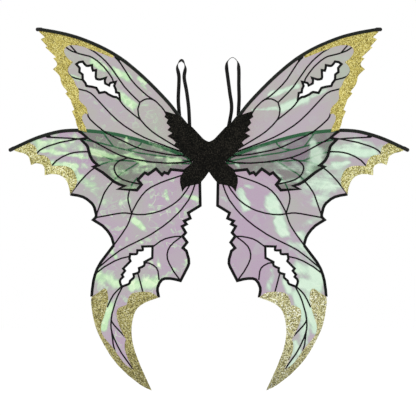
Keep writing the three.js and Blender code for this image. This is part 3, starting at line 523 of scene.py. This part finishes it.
def filled(loops, step, grid):
    """Triangles that fill the outlines, with a grid of inner points."""
    edge_points, edges = [], []
    for loop in loops:
        points = stepped(loop, step)
        first, count = len(edge_points), len(points)
        edge_points.extend(points)
        edges.extend((first + i, first + (i + 1) % count) for i in range(count))
    border = np.array(edge_points)
    low, high = border.min(axis=0), border.max(axis=0)
    rows = np.arange(low[1], high[1], grid * ROW_SHARE)
    inner = np.array([(x + (grid / 2 if r % 2 else 0), z)
                      for r, z in enumerate(rows) for x in np.arange(low[0], high[0], grid)])
    inner = inner[inside(inner, loops)]
    reach = grid * BORDER_SHARE
    clear = np.array([np.min(np.abs(border - p).sum(axis=1)) > reach for p in inner])
    everything = [Vector(p) for p in (*border, *inner[clear])]
    result = delaunay_2d_cdt(everything, edges, [], 0, WELD / 10)
    points, triangles = np.array([tuple(v) for v in result[0]]), np.array(result[2])
    middles = points[triangles].mean(axis=1)
    return points, triangles[inside(middles, loops)]


def crease(x, z, seed):
    """How far the film stands out of its plane: slow waves and sharp creases."""
    slow = noise.noise(Vector((x * WAVE_RATE, seed, z * WAVE_RATE)))
    ridge = 1 - 2 * abs(noise.noise(Vector((x * RIDGE_RATE + 7, seed + 3, z * RIDGE_RATE))))
    sharp = 1 - 2 * abs(noise.noise(Vector((x * FOLD_RATE, seed + 9, z * FOLD_RATE + 4))))
    return FILM_BULGE * slow + FILM_CREASE * (ridge * 0.6 + sharp * 0.4 - 0.5)


def shell(points, triangles, rear, front, material, name):
    """A thin closed shell between two levels of Y, each one given for every (x, z) point."""
    count = len(points)
    vertices = [(x, y, z) for (x, z), y in zip(points, rear)]
    vertices += [(x, y, z) for (x, z), y in zip(points, front)]
    faces, rims = [], set()
    for a, b, c in triangles:
        (ax, az), (bx, bz), (cx, cz) = points[a], points[b], points[c]
        if (bx - ax) * (cz - az) - (bz - az) * (cx - ax) < 0:
            b, c = c, b
        faces.append((a + count, b + count, c + count))
        faces.append((c, b, a))
        rims.update(((a, b), (b, c), (c, a)))
    faces.extend((a, b, b + count, a + count) for a, b in rims if (b, a) not in rims)
    return add_object(name, vertices, faces, material, smooth=False)


def laid_on(film_tree, level, points):
    """The level of Y just in front of a creased film, at each (x, z) point."""
    levels = []
    for x, z in points:
        hit = film_tree.ray_cast(Vector((x, -1, z)), REAR)[0]
        if hit is None:
            hit = film_tree.find_nearest(Vector((x, level, z)))[0]
        levels.append(hit.y - TRIM_GAP)
    return levels


# ------------------------------------------------------------------ wings
# Where the crumpled film's mint reflections are painted: streaks from (x, z) to (x, z), each with a
# half width, all in millimetres, and a strength. Both sides are given as if they lay on the +X
# side.
GLOWS = {
    ("upper", "left"): [
        (256, 198, 226, 181, 8, 0.85), (209, 178, 178, 163, 10, 0.9),
        (154, 162, 139, 153, 5, 0.85), (150, 147, 136, 138, 4, 0.75),
        (200, 124, 163, 101, 9, 0.85), (306, 168, 284, 160, 5, 0.55), (150, 102, 133, 104, 4, 0.5),
        (121, 85, 112, 72, 4, 0.45), (118, 53, 112, 44, 5, 0.5), (259, 2, 209, -11, 7, 0.95),
        (209, -7, 150, -13, 5, 0.7), (171, -8, 142, -24, 8, 0.85), (86, -21, 64, -18, 7, 0.95),
        (135, -9, 86, -15, 4, 0.6), (182, 31, 180, 23, 3, 0.9), (164, 21, 146, 3, 4, 0.45),
        (244, -23, 206, -20, 5, 0.6), (209, -50, 195, -62, 5, 0.65), (195, -77, 159, -80, 6, 0.55),
        (135, -33, 147, -44, 3, 0.6), (110, -30, 60, -34, 4, 0.4), (100, -30, 230, -44, 22, 0.42),
        (210, -60, 190, -74, 16, 0.45), (90, 6, 240, 26, 10, 0.28),
    ],
    ("upper", "right"): [
        (134, 125, 196, 146, 6, 0.8), (94, 93, 148, 96, 4, 0.8), (165, 98, 211, 115, 11, 0.9),
        (211, 115, 258, 136, 5, 0.6), (268, 186, 290, 193, 4, 0.55), (119, 80, 146, 81, 3, 0.35),
        (228, 20, 236, -18, 10, 1.0), (227, 46, 214, 27, 5, 0.55), (58, -22, 66, -34, 4, 0.85),
        (113, -28, 142, -40, 7, 0.5), (142, -42, 158, -56, 7, 0.7), (156, -66, 196, -62, 7, 0.65),
        (211, -56, 246, -16, 7, 0.5), (90, -16, 180, -4, 4, 0.4), (176, -20, 200, -34, 8, 0.45),
        (110, -34, 220, -40, 22, 0.42), (215, -50, 240, 0, 16, 0.55), (110, 2, 238, 32, 13, 0.48),
    ],
    ("lower", "left"): [
        (304, -37, 284, -58, 12, 0.7), (284, -58, 256, -72, 13, 0.8), (348, -25, 292, -31, 8, 0.8),
        (374, 5, 268, -12, 4, 0.85), (392, 19, 284, 29, 4, 0.65), (330, -6, 250, -20, 3, 0.45),
        (95, -85, 91, -104, 5, 0.85), (59, -94, 24, -103, 6, 0.75), (134, -115, 120, -121, 3, 0.5),
        (198, -108, 196, -118, 6, 0.5), (163, -151, 147, -166, 8, 0.9),
        (136, -138, 117, -131, 3, 0.65), (72, -125, 66, -132, 4, 0.65),
        (90, -151, 76, -158, 4, 0.65), (86, -168, 79, -175, 3, 0.55),
        (156, -188, 147, -200, 4, 0.6), (117, -188, 99, -213, 4, 0.65),
        (113, -229, 110, -250, 4, 0.6), (76, -256, 80, -267, 5, 0.75),
        (51, -236, 49, -245, 4, 0.55), (214, -218, 204, -231, 6, 0.65),
        (246, -270, 196, -290, 16, 0.75), (170, -294, 118, -284, 14, 0.75),
        (216, -338, 232, -388, 8, 1.0), (191, -316, 176, -334, 5, 0.5),
        (195, -430, 184, -468, 6, 0.45), (185, -88, 168, -122, 7, 0.55),
        (250, -118, 244, -140, 5, 0.45), (395, 16, 290, 10, 24, 0.58),
        (330, -14, 262, -34, 16, 0.4), (260, -60, 235, -110, 26, 0.5),
        (210, -100, 150, -110, 18, 0.35), (190, -285, 215, -330, 20, 0.45),
    ],
    ("lower", "right"): [
        (268, 4, 364, -4, 12, 0.9), (274, -28, 304, -23, 9, 0.8), (228, -38, 290, -33, 12, 0.65),
        (288, 25, 336, 27, 5, 0.55), (248, -77, 290, -73, 8, 0.65), (176, -83, 209, -82, 4, 0.55),
        (70, -88, 82, -120, 10, 0.85), (80, -74, 98, -77, 6, 0.6),
        (137, -104, 163, -173, 14, 0.95), (210, -158, 244, -142, 10, 0.55),
        (201, -180, 218, -192, 12, 0.65), (28, -96, 38, -106, 6, 0.5),
        (50, -116, 54, -122, 4, 0.45), (178, -198, 206, -216, 10, 0.55),
        (200, -250, 246, -276, 18, 0.8), (206, -288, 238, -300, 14, 0.85),
        (170, -268, 176, -306, 12, 0.85), (140, -262, 132, -300, 9, 0.6),
        (196, -312, 206, -352, 14, 1.0), (222, -330, 236, -392, 12, 1.0),
        (190, -420, 206, -460, 10, 0.75), (184, -446, 196, -470, 8, 0.65),
        (204, -400, 212, -420, 8, 0.7), (214, -296, 212, -400, 16, 0.62),
        (208, -400, 180, -480, 14, 0.6), (380, 4, 270, 8, 24, 0.6), (215, -75, 295, -50, 28, 0.64),
        (235, -110, 265, -90, 22, 0.56), (205, -215, 235, -285, 26, 0.55),
    ],
}
# Where the film is a deeper lilac, given the same way.
BLUSHES = {
    ("upper", "left"): [(180, 60, 220, 90, 30, 0.4), (250, 215, 200, 190, 12, 0.3)],
    ("upper", "right"): [(140, 48, 230, 88, 22, 0.7), (160, 170, 230, 200, 22, 0.6),
                         (110, 60, 130, 70, 20, 0.4)],
    ("lower", "left"): [(110, -150, 130, -210, 45, 0.25), (300, -18, 250, -24, 8, 0.9)],
    ("lower", "right"): [(90, -120, 100, -250, 45, 1.0), (60, -250, 70, -280, 25, 1.0),
                         (150, -200, 180, -180, 25, 0.5)],
}


def glow_at(points, streaks):
    """The strength of the streaks at each (x, z) point on the +X side."""
    total = np.zeros(len(points))
    for x0, z0, x1, z1, half, strength in streaks:
        start = np.array([x0, z0]) * MM
        run = np.array([x1 - x0, z1 - z0]) * MM
        t = np.clip((points - start) @ run / (run @ run), 0, 1)
        away = np.linalg.norm(points - start - t[:, None] * run, axis=1) / (half * MM)
        total = np.maximum(total, strength * np.exp(-(away ** 2) * GLOW_FALL))
    return total


def glow_attribute(piece, wing, side):
    """Stores a film's painted mint reflections and lilac blush at each point, and its place along
    the creases.
    """
    place = np.array([(SIDES[side] * v.co.x, v.co.z) for v in piece.data.vertices])
    for name, streaks in (("glow", GLOWS[wing, side]), ("blush", BLUSHES[wing, side])):
        layer = piece.data.attributes.new(name, "FLOAT", "POINT")
        layer.data.foreach_set("value", glow_at(place, streaks).astype(np.float32))
    reach = np.linalg.norm(place, axis=1)
    turn = np.arctan2(place[:, 1] - FAN_CENTRE_Z, place[:, 0])
    level = np.full(len(place), SIDES[side] * FAN_SIDE)
    radial = np.stack([turn * FAN_TURN, reach * FAN_REACH, level], axis=1)
    layer = piece.data.attributes.new("radial", "FLOAT_VECTOR", "POINT")
    layer.data.foreach_set("vector", radial.astype(np.float32).ravel())


def centreline(node):
    """The middle points of a CAD rod, from the hub outwards."""
    corners = [v.co for v in frame["nodes"][node].data.vertices]
    ends = sorted((c.x ** 2 + c.z ** 2, tuple(c)) for c in corners)
    middles, group = [], []
    reach = 0
    for squared, place in ends:
        if group and math.sqrt(squared) - reach > SPAR_RING_GAP:
            middles.append(Vector(np.mean(group, axis=0)))
            group = []
        group.append(place)
        reach = math.sqrt(squared)
    middles.append(Vector(np.mean(group, axis=0)))
    return middles


def smoothed(points, step):
    """A smooth curve through the points, with a point about every step."""
    padded = [points[0] * 2 - points[1], *points, points[-1] * 2 - points[-2]]
    curve = []
    for p0, p1, p2, p3 in zip(padded, padded[1:], padded[2:], padded[3:]):
        count = max(1, round((p2 - p1).length / step))
        for i in range(count):
            t = i / count
            curve.append(0.5 * (2 * p1 + (p2 - p0) * t + (2 * p0 - 5 * p1 + 4 * p2 - p3) * t * t
                                + (3 * p1 - p0 - 3 * p2 + p3) * t ** 3))
    return [*curve, points[-1]]


def part_of(curve, start, end):
    """The part of a curve between two distances along it."""
    kept, run = [], 0
    for a, b in zip(curve, curve[1:]):
        length = (b - a).length
        low, high = max(0, (start - run) / length), min(1, (end - run) / length)
        if low < high:
            if not kept:
                kept.append(a.lerp(b, low))
            kept.append(a.lerp(b, high))
        run += length
    return kept


def length_of(curve):
    """The length of a line of points."""
    return sum((b - a).length for a, b in zip(curve, curve[1:]))


def heading(curve, i):
    """The direction in which a curve runs at one of its points."""
    return (curve[min(i + 1, len(curve) - 1)] - curve[max(i - 1, 0)]).normalized()


def flank(ahead):
    """The direction square to another one, in the XZ plane."""
    return Vector((-ahead.z, 0, ahead.x))


def tube(name, curve, radii, material, sides=20):
    """A closed tube round a curve in the XZ plane; radii gives one radius for each point."""
    vertices = []
    for i, (point, radius) in enumerate(zip(curve, radii)):
        vertices += circle(point, flank(heading(curve, i)), REAR, radius, sides)
    faces = [tuple(reversed(face)) for face in capped(len(curve), sides)]
    return add_object(name, vertices, faces, material)


def mark_ribs(sleeve, line):
    """Stores, at each point of a sleeve, how near it is to its rubbed ribs with their painted
    sheen, front and back.
    """
    sides = len(sleeve.data.vertices) // len(line)
    heights = [abs(math.sin(2 * math.pi * k / sides)) for k in range(sides)]
    ribs = [math.exp(-((height - RIB_PLACE) / RIB_WIDTH) ** 2) for height in heights]
    layer = sleeve.data.attributes.new("rib", "FLOAT", "POINT")
    layer.data.foreach_set("value", ribs * len(line))


def spar_pieces(wing, side):
    """The rod, the woven sleeve and the tip cap of one leading edge."""
    body = f"{wing}_wing_{side}"
    middle = smoothed(centreline(f"{wing}_spar_{side}"), SPAR_STEP)
    whole = length_of(middle)
    rod = tube(f"{wing}_rod_{side}", middle, [ROD_RADIUS] * len(middle), MATERIALS["rod"])
    finish_piece(rod, body, "rod", f"{wing}_spar_{side}")

    low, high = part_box(f"{wing}_sleeve_{side}")
    first = next(i for i, p in enumerate(middle) if low.x - MM < p.x < high.x + MM)
    start = length_of(middle[: first + 1])
    line = part_of(middle, start, whole - CAP_LENGTH + SLEEVE_TUCK)
    places = [Vector((p.x * SLEEVE_RATE, 1.5, p.z * SLEEVE_RATE)) for p in line]
    radii = [SLEEVE_RADIUS + SLEEVE_WAVE * noise.noise(place) for place in places]
    sleeve = tube(f"{wing}_tube_{side}", line, radii, MATERIALS["sleeve"])
    mark_ribs(sleeve, line)
    finish_piece(sleeve, body, "spar_sleeve", f"{wing}_sleeve_{side}")

    ahead = (middle[-1] - middle[-3]).normalized()
    end = middle[-1] + ahead * CAP_CLOSURE
    line = [end - ahead * back for back, _ in CAP_PROFILE]
    cap = tube(f"{wing}_cap_{side}", line, [CAP_RADIUS * share for _, share in CAP_PROFILE],
               MATERIALS["rubber"], CAP_SIDES)
    finish_piece(cap, body, "rubber", f"{wing}_tip_cap_{side}")


def seated(loops, line):
    """The outlines, with the edge along the spar drawn in until it lies inside the sleeve."""
    middles = np.array([(p.x, p.z) for p in line])
    moved = []
    for loop in loops:
        points = stepped(loop, TRIM_STEP)
        away = points[:, None] - middles[None]
        reach = np.linalg.norm(away, axis=2)
        nearest = reach.argmin(axis=1)
        rows = np.arange(len(points))
        gap = reach[rows, nearest]
        near = gap < SEAM_REACH
        drawn = middles[nearest] + away[rows, nearest] * (SEAM_DEPTH / gap)[:, None]
        moved.append(np.where(near[:, None], drawn, points))
    return moved


def gold_finish(node):
    """The glitter of one gold node: the tail's is duller than the tips'."""
    if "tail" in node:
        return MATERIALS["tail_gold_left" if "left" in node else "tail_gold_right"]
    return MATERIALS["upper_gold" if "upper" in node else "tip_gold"]


def bonded(name, node, body, slot, material, rise, line, tree, level):
    """A layer on the front of a film: its black web, or one of its patches of glitter."""
    points, triangles = filled(seated(outlines(node), line), TRIM_STEP, TRIM_GRID)
    rear = laid_on(tree, level, points)
    piece = shell(points, triangles, rear, [y - rise for y in rear], material, name)
    finish_piece(piece, body, slot, node)


def wing_sheets(wing, side):
    """The film, the black web and the gold glitter of one wing."""
    body = f"{wing}_wing_{side}"
    film_node = f"{wing}_film_{side}"
    low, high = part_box(film_node)
    level = low.y
    seed = SEED_STEP * (WINGS.index(wing) + 1) + SIDES[side]
    line = smoothed(centreline(f"{wing}_spar_{side}"), MM)
    points, triangles = filled(seated(outlines(film_node), line), TRIM_STEP, FILM_GRID)
    vertices = [(x, level + crease(x, z, seed), z) for x, z in points]
    film = add_object(f"{wing}_sheet_{side}", vertices, triangles, MATERIALS[film_node])
    glow_attribute(film, wing, side)
    finish_piece(film, body, "film", film_node)

    tree = BVHTree.FromPolygons(vertices, triangles.tolist())
    bonded(f"{wing}_web_{side}", f"{wing}_veins_{side}", body, "black_flock", MATERIALS["flock"],
           VEIN_RAISE, line, tree, level)
    for node in frame["record"]["behaviour"]["bodies"][body]:
        if "gold" in node:
            bonded(node.replace("gold", "glitter"), node, body, "gold_glitter", gold_finish(node),
                   GOLD_RAISE, line, tree, level)


for wing in WINGS:
    for side in SIDES:
        spar_pieces(wing, side)
        wing_sheets(wing, side)

# ------------------------------------------------------------------ cover


def foam_cover():
    """The foam cover again, slightly swollen and with its cut edges rounded."""
    low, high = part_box("cover")
    points, triangles = filled(outlines("cover"), COVER_GRID, COVER_GRID)
    places = [Vector((x * COVER_RATE, 4.2, z * COVER_RATE)) for x, z in points]
    swell = [COVER_SWELL * noise.noise(place) for place in places]
    piece = shell(points, triangles, [high.y + y for y in swell], [low.y + y for y in swell],
                  MATERIALS["cover"], "cover_sheet")
    rounded(piece, COVER_ROUND, 3)
    finish_piece(piece, "cover", "cover_foam", "cover")


foam_cover()

# ------------------------------------------------------------------ hub


def refined(name, node, body, slot, material, rounding):
    """A CAD solid again, cleaned and with its edges rounded by so many millimetres."""
    shape = bmesh.new()
    shape.from_mesh(frame["nodes"][node].data)
    bmesh.ops.remove_doubles(shape, verts=shape.verts, dist=WELD)
    bmesh.ops.dissolve_limit(shape, angle_limit=math.radians(1), verts=shape.verts,
                             edges=shape.edges)
    mesh = bpy.data.meshes.new(name)
    shape.to_mesh(mesh)
    shape.free()
    mesh.materials.clear()
    mesh.materials.append(MATERIALS[material])
    mesh.shade_flat()
    piece = placed(name, mesh)
    rounded(piece, rounding * MM, 2)
    finish_piece(piece, body, slot, node)


refined("socket_block", "hub_socket_block", "hub", "moulding", "moulding", 0.5)
refined("back_plate", "hub_back_plate", "hub", "moulding", "moulding", 0.4)
refined("lid", "hub_lid", "hub", "moulding", "moulding", 0.3)
refined("hook_tape", "hub_hook_tape", "hub", "fastener_tape", "tape", 0.2)
refined("loop_tape", "cover_loop_tape", "cover", "fastener_tape", "tape", 0.2)
for number in range(1, 5):
    refined(f"screw_{number}", f"hub_screw_{number}", "hub", "steel", "steel", 0.25)
for side in SIDES:
    refined(f"wire_bar_{side}", f"strap_bar_{side}", "hub", "steel", "steel", 0.2)


def pad_edge(angle, half_x, half_z):
    """Where the pad's squared-off outline lies, from its middle."""
    cosine, sine = math.cos(angle), math.sin(angle)
    return (math.copysign(abs(cosine) ** PAD_SQUARENESS, cosine) * half_x,
            math.copysign(abs(sine) ** PAD_SQUARENESS, sine) * half_z)


def back_pad():
    """The felt-covered pad: crowned towards its rim seam, and flat where it meets the back."""
    low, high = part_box("back_pad")
    middle, half = (low + high) / 2, (high - low) / 2
    profile = []
    for k in range(PAD_RINGS + 1):
        angle = math.pi / 2 * k / PAD_RINGS
        profile.append((math.sin(angle) ** 0.5, half.y * PAD_CROWN * math.cos(angle) ** 0.8))
    stack = [(share, middle.y + depth) for share, depth in profile]
    stack += [(share, middle.y - depth) for share, depth in reversed(profile[:-1])]
    vertices = []
    for share, y in stack:
        for c in range(PAD_COLUMNS):
            x, z = pad_edge(2 * math.pi * c / PAD_COLUMNS, half.x, half.z)
            x, z = x * share, z * share
            dent = PAD_DENT * noise.noise(Vector((x, y, z)) * PAD_RATE)
            vertices.append((middle.x + x, y + dent, middle.z + z))
    piece = add_object("pad", vertices, skin(len(stack), PAD_COLUMNS), MATERIALS["felt"])
    finish_piece(piece, "hub", "pad_felt", "back_pad")


back_pad()


def stitches(name, line, length, gap, radius, lift):
    """A row of short threads along a line of points, each standing off it by a lift."""
    vertices, faces = [], []
    whole = length_of(line)
    up = lift.normalized()
    at = gap / 2
    while at + length < whole:
        ends = part_of(line, at, at + length)
        start, end = ends[0], ends[-1]
        across = (end - start).normalized().cross(up)
        faces += capped(len(THREAD_PROFILE), THREAD_SIDES, len(vertices))
        for share, size in THREAD_PROFILE:
            vertices += circle(start.lerp(end, share) + lift, across, up, radius * size,
                               THREAD_SIDES)
        at += length + gap
    return add_object(name, vertices, faces, MATERIALS["thread"])


def pad_stitches():
    """The row of stitches near the pad's rim, on the face that rests on the back."""
    low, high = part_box("back_pad")
    middle, half = (low + high) / 2, (high - low) / 2
    line = []
    for c in range(PAD_SEAM_POINTS + 1):
        x, z = pad_edge(2 * math.pi * c / PAD_SEAM_POINTS, half.x - PAD_SEAM_INSET,
                        half.z - PAD_SEAM_INSET)
        line.append(Vector((middle.x + x, high.y, middle.z + z)))
    row = stitches("pad_stitches", line, 3 * MM, 1.6 * MM, 0.3 * MM, REAR * -0.1 * MM)
    finish_piece(row, "hub", "pad_felt")


pad_stitches()

# ------------------------------------------------------------------ shoulder straps
# Each elastic loop's middle line in millimetres, on the +X side, over the top from inner to outer.
STRAP_LINES = {
    "left": [(44.5, 96), (49, 133), (54.5, 165), (52, 188), (60, 203), (70, 190), (66, 165),
             (67.5, 115)],
    "right": [(50, 96), (46, 132), (41.5, 166), (39, 188), (41.5, 201), (52.5, 209), (63.5, 199),
              (66, 180), (66, 150), (66.5, 115)],
}
CREST_LEAN = {"left": 0.75, "right": 0.1}  # radians that the crest leans forward from edge-on


def ease(value, low, high):
    """A smooth step from 0 to 1."""
    t = min(1, max(0, (value - low) / (high - low)))
    return t * t * (3 - 2 * t)


def mirrored(points, side):
    """Points drawn on the +X side, on the side that is asked for."""
    return [(SIDES[side] * p.x, p.y, p.z) for p in points]


def elastic_band(side, curve, ahead):
    """One elastic band: flat on its strands and turned edge-on over the top."""
    crest = max(curve, key=lambda p: p.z)
    last = len(curve) - 1
    points = []
    for i, point in enumerate(curve):
        square = max(0, 1 - min(i, last - i) / SQUARE_POINTS)
        along_bar = -ahead if i < len(curve) / 2 else ahead
        out = flank(heading(curve, i)).lerp(along_bar, square).normalized()
        from_crest = (point - crest).length / MM
        turn = math.pi / 2 * (1 - ease(from_crest, TWIST_START, TWIST_END))
        turn -= CREST_LEAN[side] * (1 - ease(from_crest, 0, LEAN_END))
        wide = out * math.cos(turn) + REAR * math.sin(turn)
        thick = REAR * math.cos(turn) - out * math.sin(turn)
        points += [point + wide * across * STRAP_WIDTH / 2 + thick * through * STRAP_THICKNESS / 2
                   for across, through in STRAP_SECTION]
    faces = capped(len(curve), len(STRAP_SECTION))
    return add_object(f"elastic_{side}", mirrored(points, side), faces, MATERIALS["elastic"])


def elastic_end(place, side, middle, ahead):
    """The end of the elastic that is wrapped round its wire bar."""
    points = []
    for run, radius in RING_PROFILE:
        points += circle(middle + ahead * run * MM, flank(ahead), REAR, radius * MM, RING_SIDES)
    return add_object(f"elastic_end_{place}_{side}", mirrored(points, side),
                      skin(len(RING_PROFILE), RING_SIDES, around=True), MATERIALS["elastic"])


def strap(side):
    """One shoulder loop: its elastic, the two wrapped ends, the lap and the lap's stitches."""
    body = f"shoulder_strap_{side}"
    bar_low, bar_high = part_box(f"strap_bar_{side}")
    level = bar_high.y - BAR_RADIUS
    inner_x, outer_x = sorted((abs(bar_low.x), abs(bar_high.x)))
    bar = Vector((outer_x - inner_x, 0, bar_high.z - bar_low.z))
    ahead = bar.normalized()
    foot = Vector((inner_x, level, bar_low.z))
    inner, outer = foot + ahead * STRAND_INSET, foot + ahead * (bar.length - STRAND_INSET)
    away = flank(ahead) * WRAP_RADIUS
    strands = [Vector((x * MM, level, z * MM)) for x, z in STRAP_LINES[side]]
    curve = smoothed([inner + away, *strands, outer + away], STRAP_STEP)
    finish_piece(elastic_band(side, curve, ahead), body, "elastic", f"strap_{side}")
    for place, middle in (("inner", inner), ("outer", outer)):
        finish_piece(elastic_end(place, side, middle, ahead), body, "elastic")
    refined(f"lap_{side}", f"strap_lap_{side}", body, "elastic", "elastic", 0.3)

    low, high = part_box(f"strap_lap_{side}")
    centre = (low.x + high.x) / 2
    for end, z in (("top", high.z - LAP_SEAM_INSET), ("foot", low.z + LAP_SEAM_INSET)):
        line = [Vector((centre + way * LAP_SEAM_HALF, low.y, z)) for way in (-1, 1)]
        row = stitches(f"lap_stitches_{end}_{side}", line, 1.4 * MM, 0.7 * MM, 0.2 * MM,
                       REAR * -0.05 * MM)
        finish_piece(row, body, "elastic")


for side in SIDES:
    strap(side)

# ------------------------------------------------------------------ stage, light and camera
FLOOR_DROP = 0.16  # of the floor, below the tail tips
FLOOR_HALF = 4  # metres from its middle to its sides
floor_material, floor_output, floor_add, floor_link = new_material("pale_floor")
floor_shader = floor_add("BsdfPrincipled", Base_Color=(1, 1, 1, 1), Roughness=0.9,
                         Specular_IOR_Level=0.1)
floor_link(floor_shader.outputs[0], floor_output.inputs["Surface"])
floor_z = cad_box[0][2] - FLOOR_DROP
floor_corners = [(FLOOR_HALF * x, FLOOR_HALF * y, floor_z)
                 for x, y in ((-1, -1), (1, -1), (1, 1), (-1, 1))]
floor = add_object("floor", floor_corners, [(0, 1, 2, 3)], floor_material)

world = bpy.data.worlds.new("studio")
world.use_nodes = True
world.node_tree.nodes["Background"].inputs["Color"].default_value = (1, 1, 1, 1)
world.node_tree.nodes["Background"].inputs["Strength"].default_value = 1.0
bpy.context.scene.world = world
LIGHT_AIM = Vector((0, 0, -0.1))


def softbox(name, place, size, power):
    """A square area light that faces the wings."""
    light = bpy.data.lights.new(name, "AREA")
    light.size = size
    light.energy = power
    lamp = placed(name, light)
    lamp.location = place
    lamp.rotation_euler = (LIGHT_AIM - Vector(place)).to_track_quat("-Z", "Y").to_euler()


softbox("key", (-1.6, -2.2, 1.6), size=1.2, power=18)
softbox("fill", (1.8, -2.0, 0.6), size=1.5, power=8)

VIEW_CENTRE = (-0.002, -0.123)  # x and z that the camera looks at
VIEW_WIDTH = 0.915  # across the picture, at the wings
CAMERA_DISTANCE = 3.6  # in front of the lower films
wings_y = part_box("lower_film_left")[0].y
camera_data = bpy.data.cameras.new("camera")
camera_data.sensor_width = 36
camera_data.lens = camera_data.sensor_width * CAMERA_DISTANCE / VIEW_WIDTH
camera = placed("camera", camera_data)
camera.location = (VIEW_CENTRE[0], wings_y - CAMERA_DISTANCE, VIEW_CENTRE[1])
camera.rotation_euler = (math.pi / 2, 0, 0)
bpy.context.scene.camera = camera
bpy.context.scene.view_settings.view_transform = "Standard"
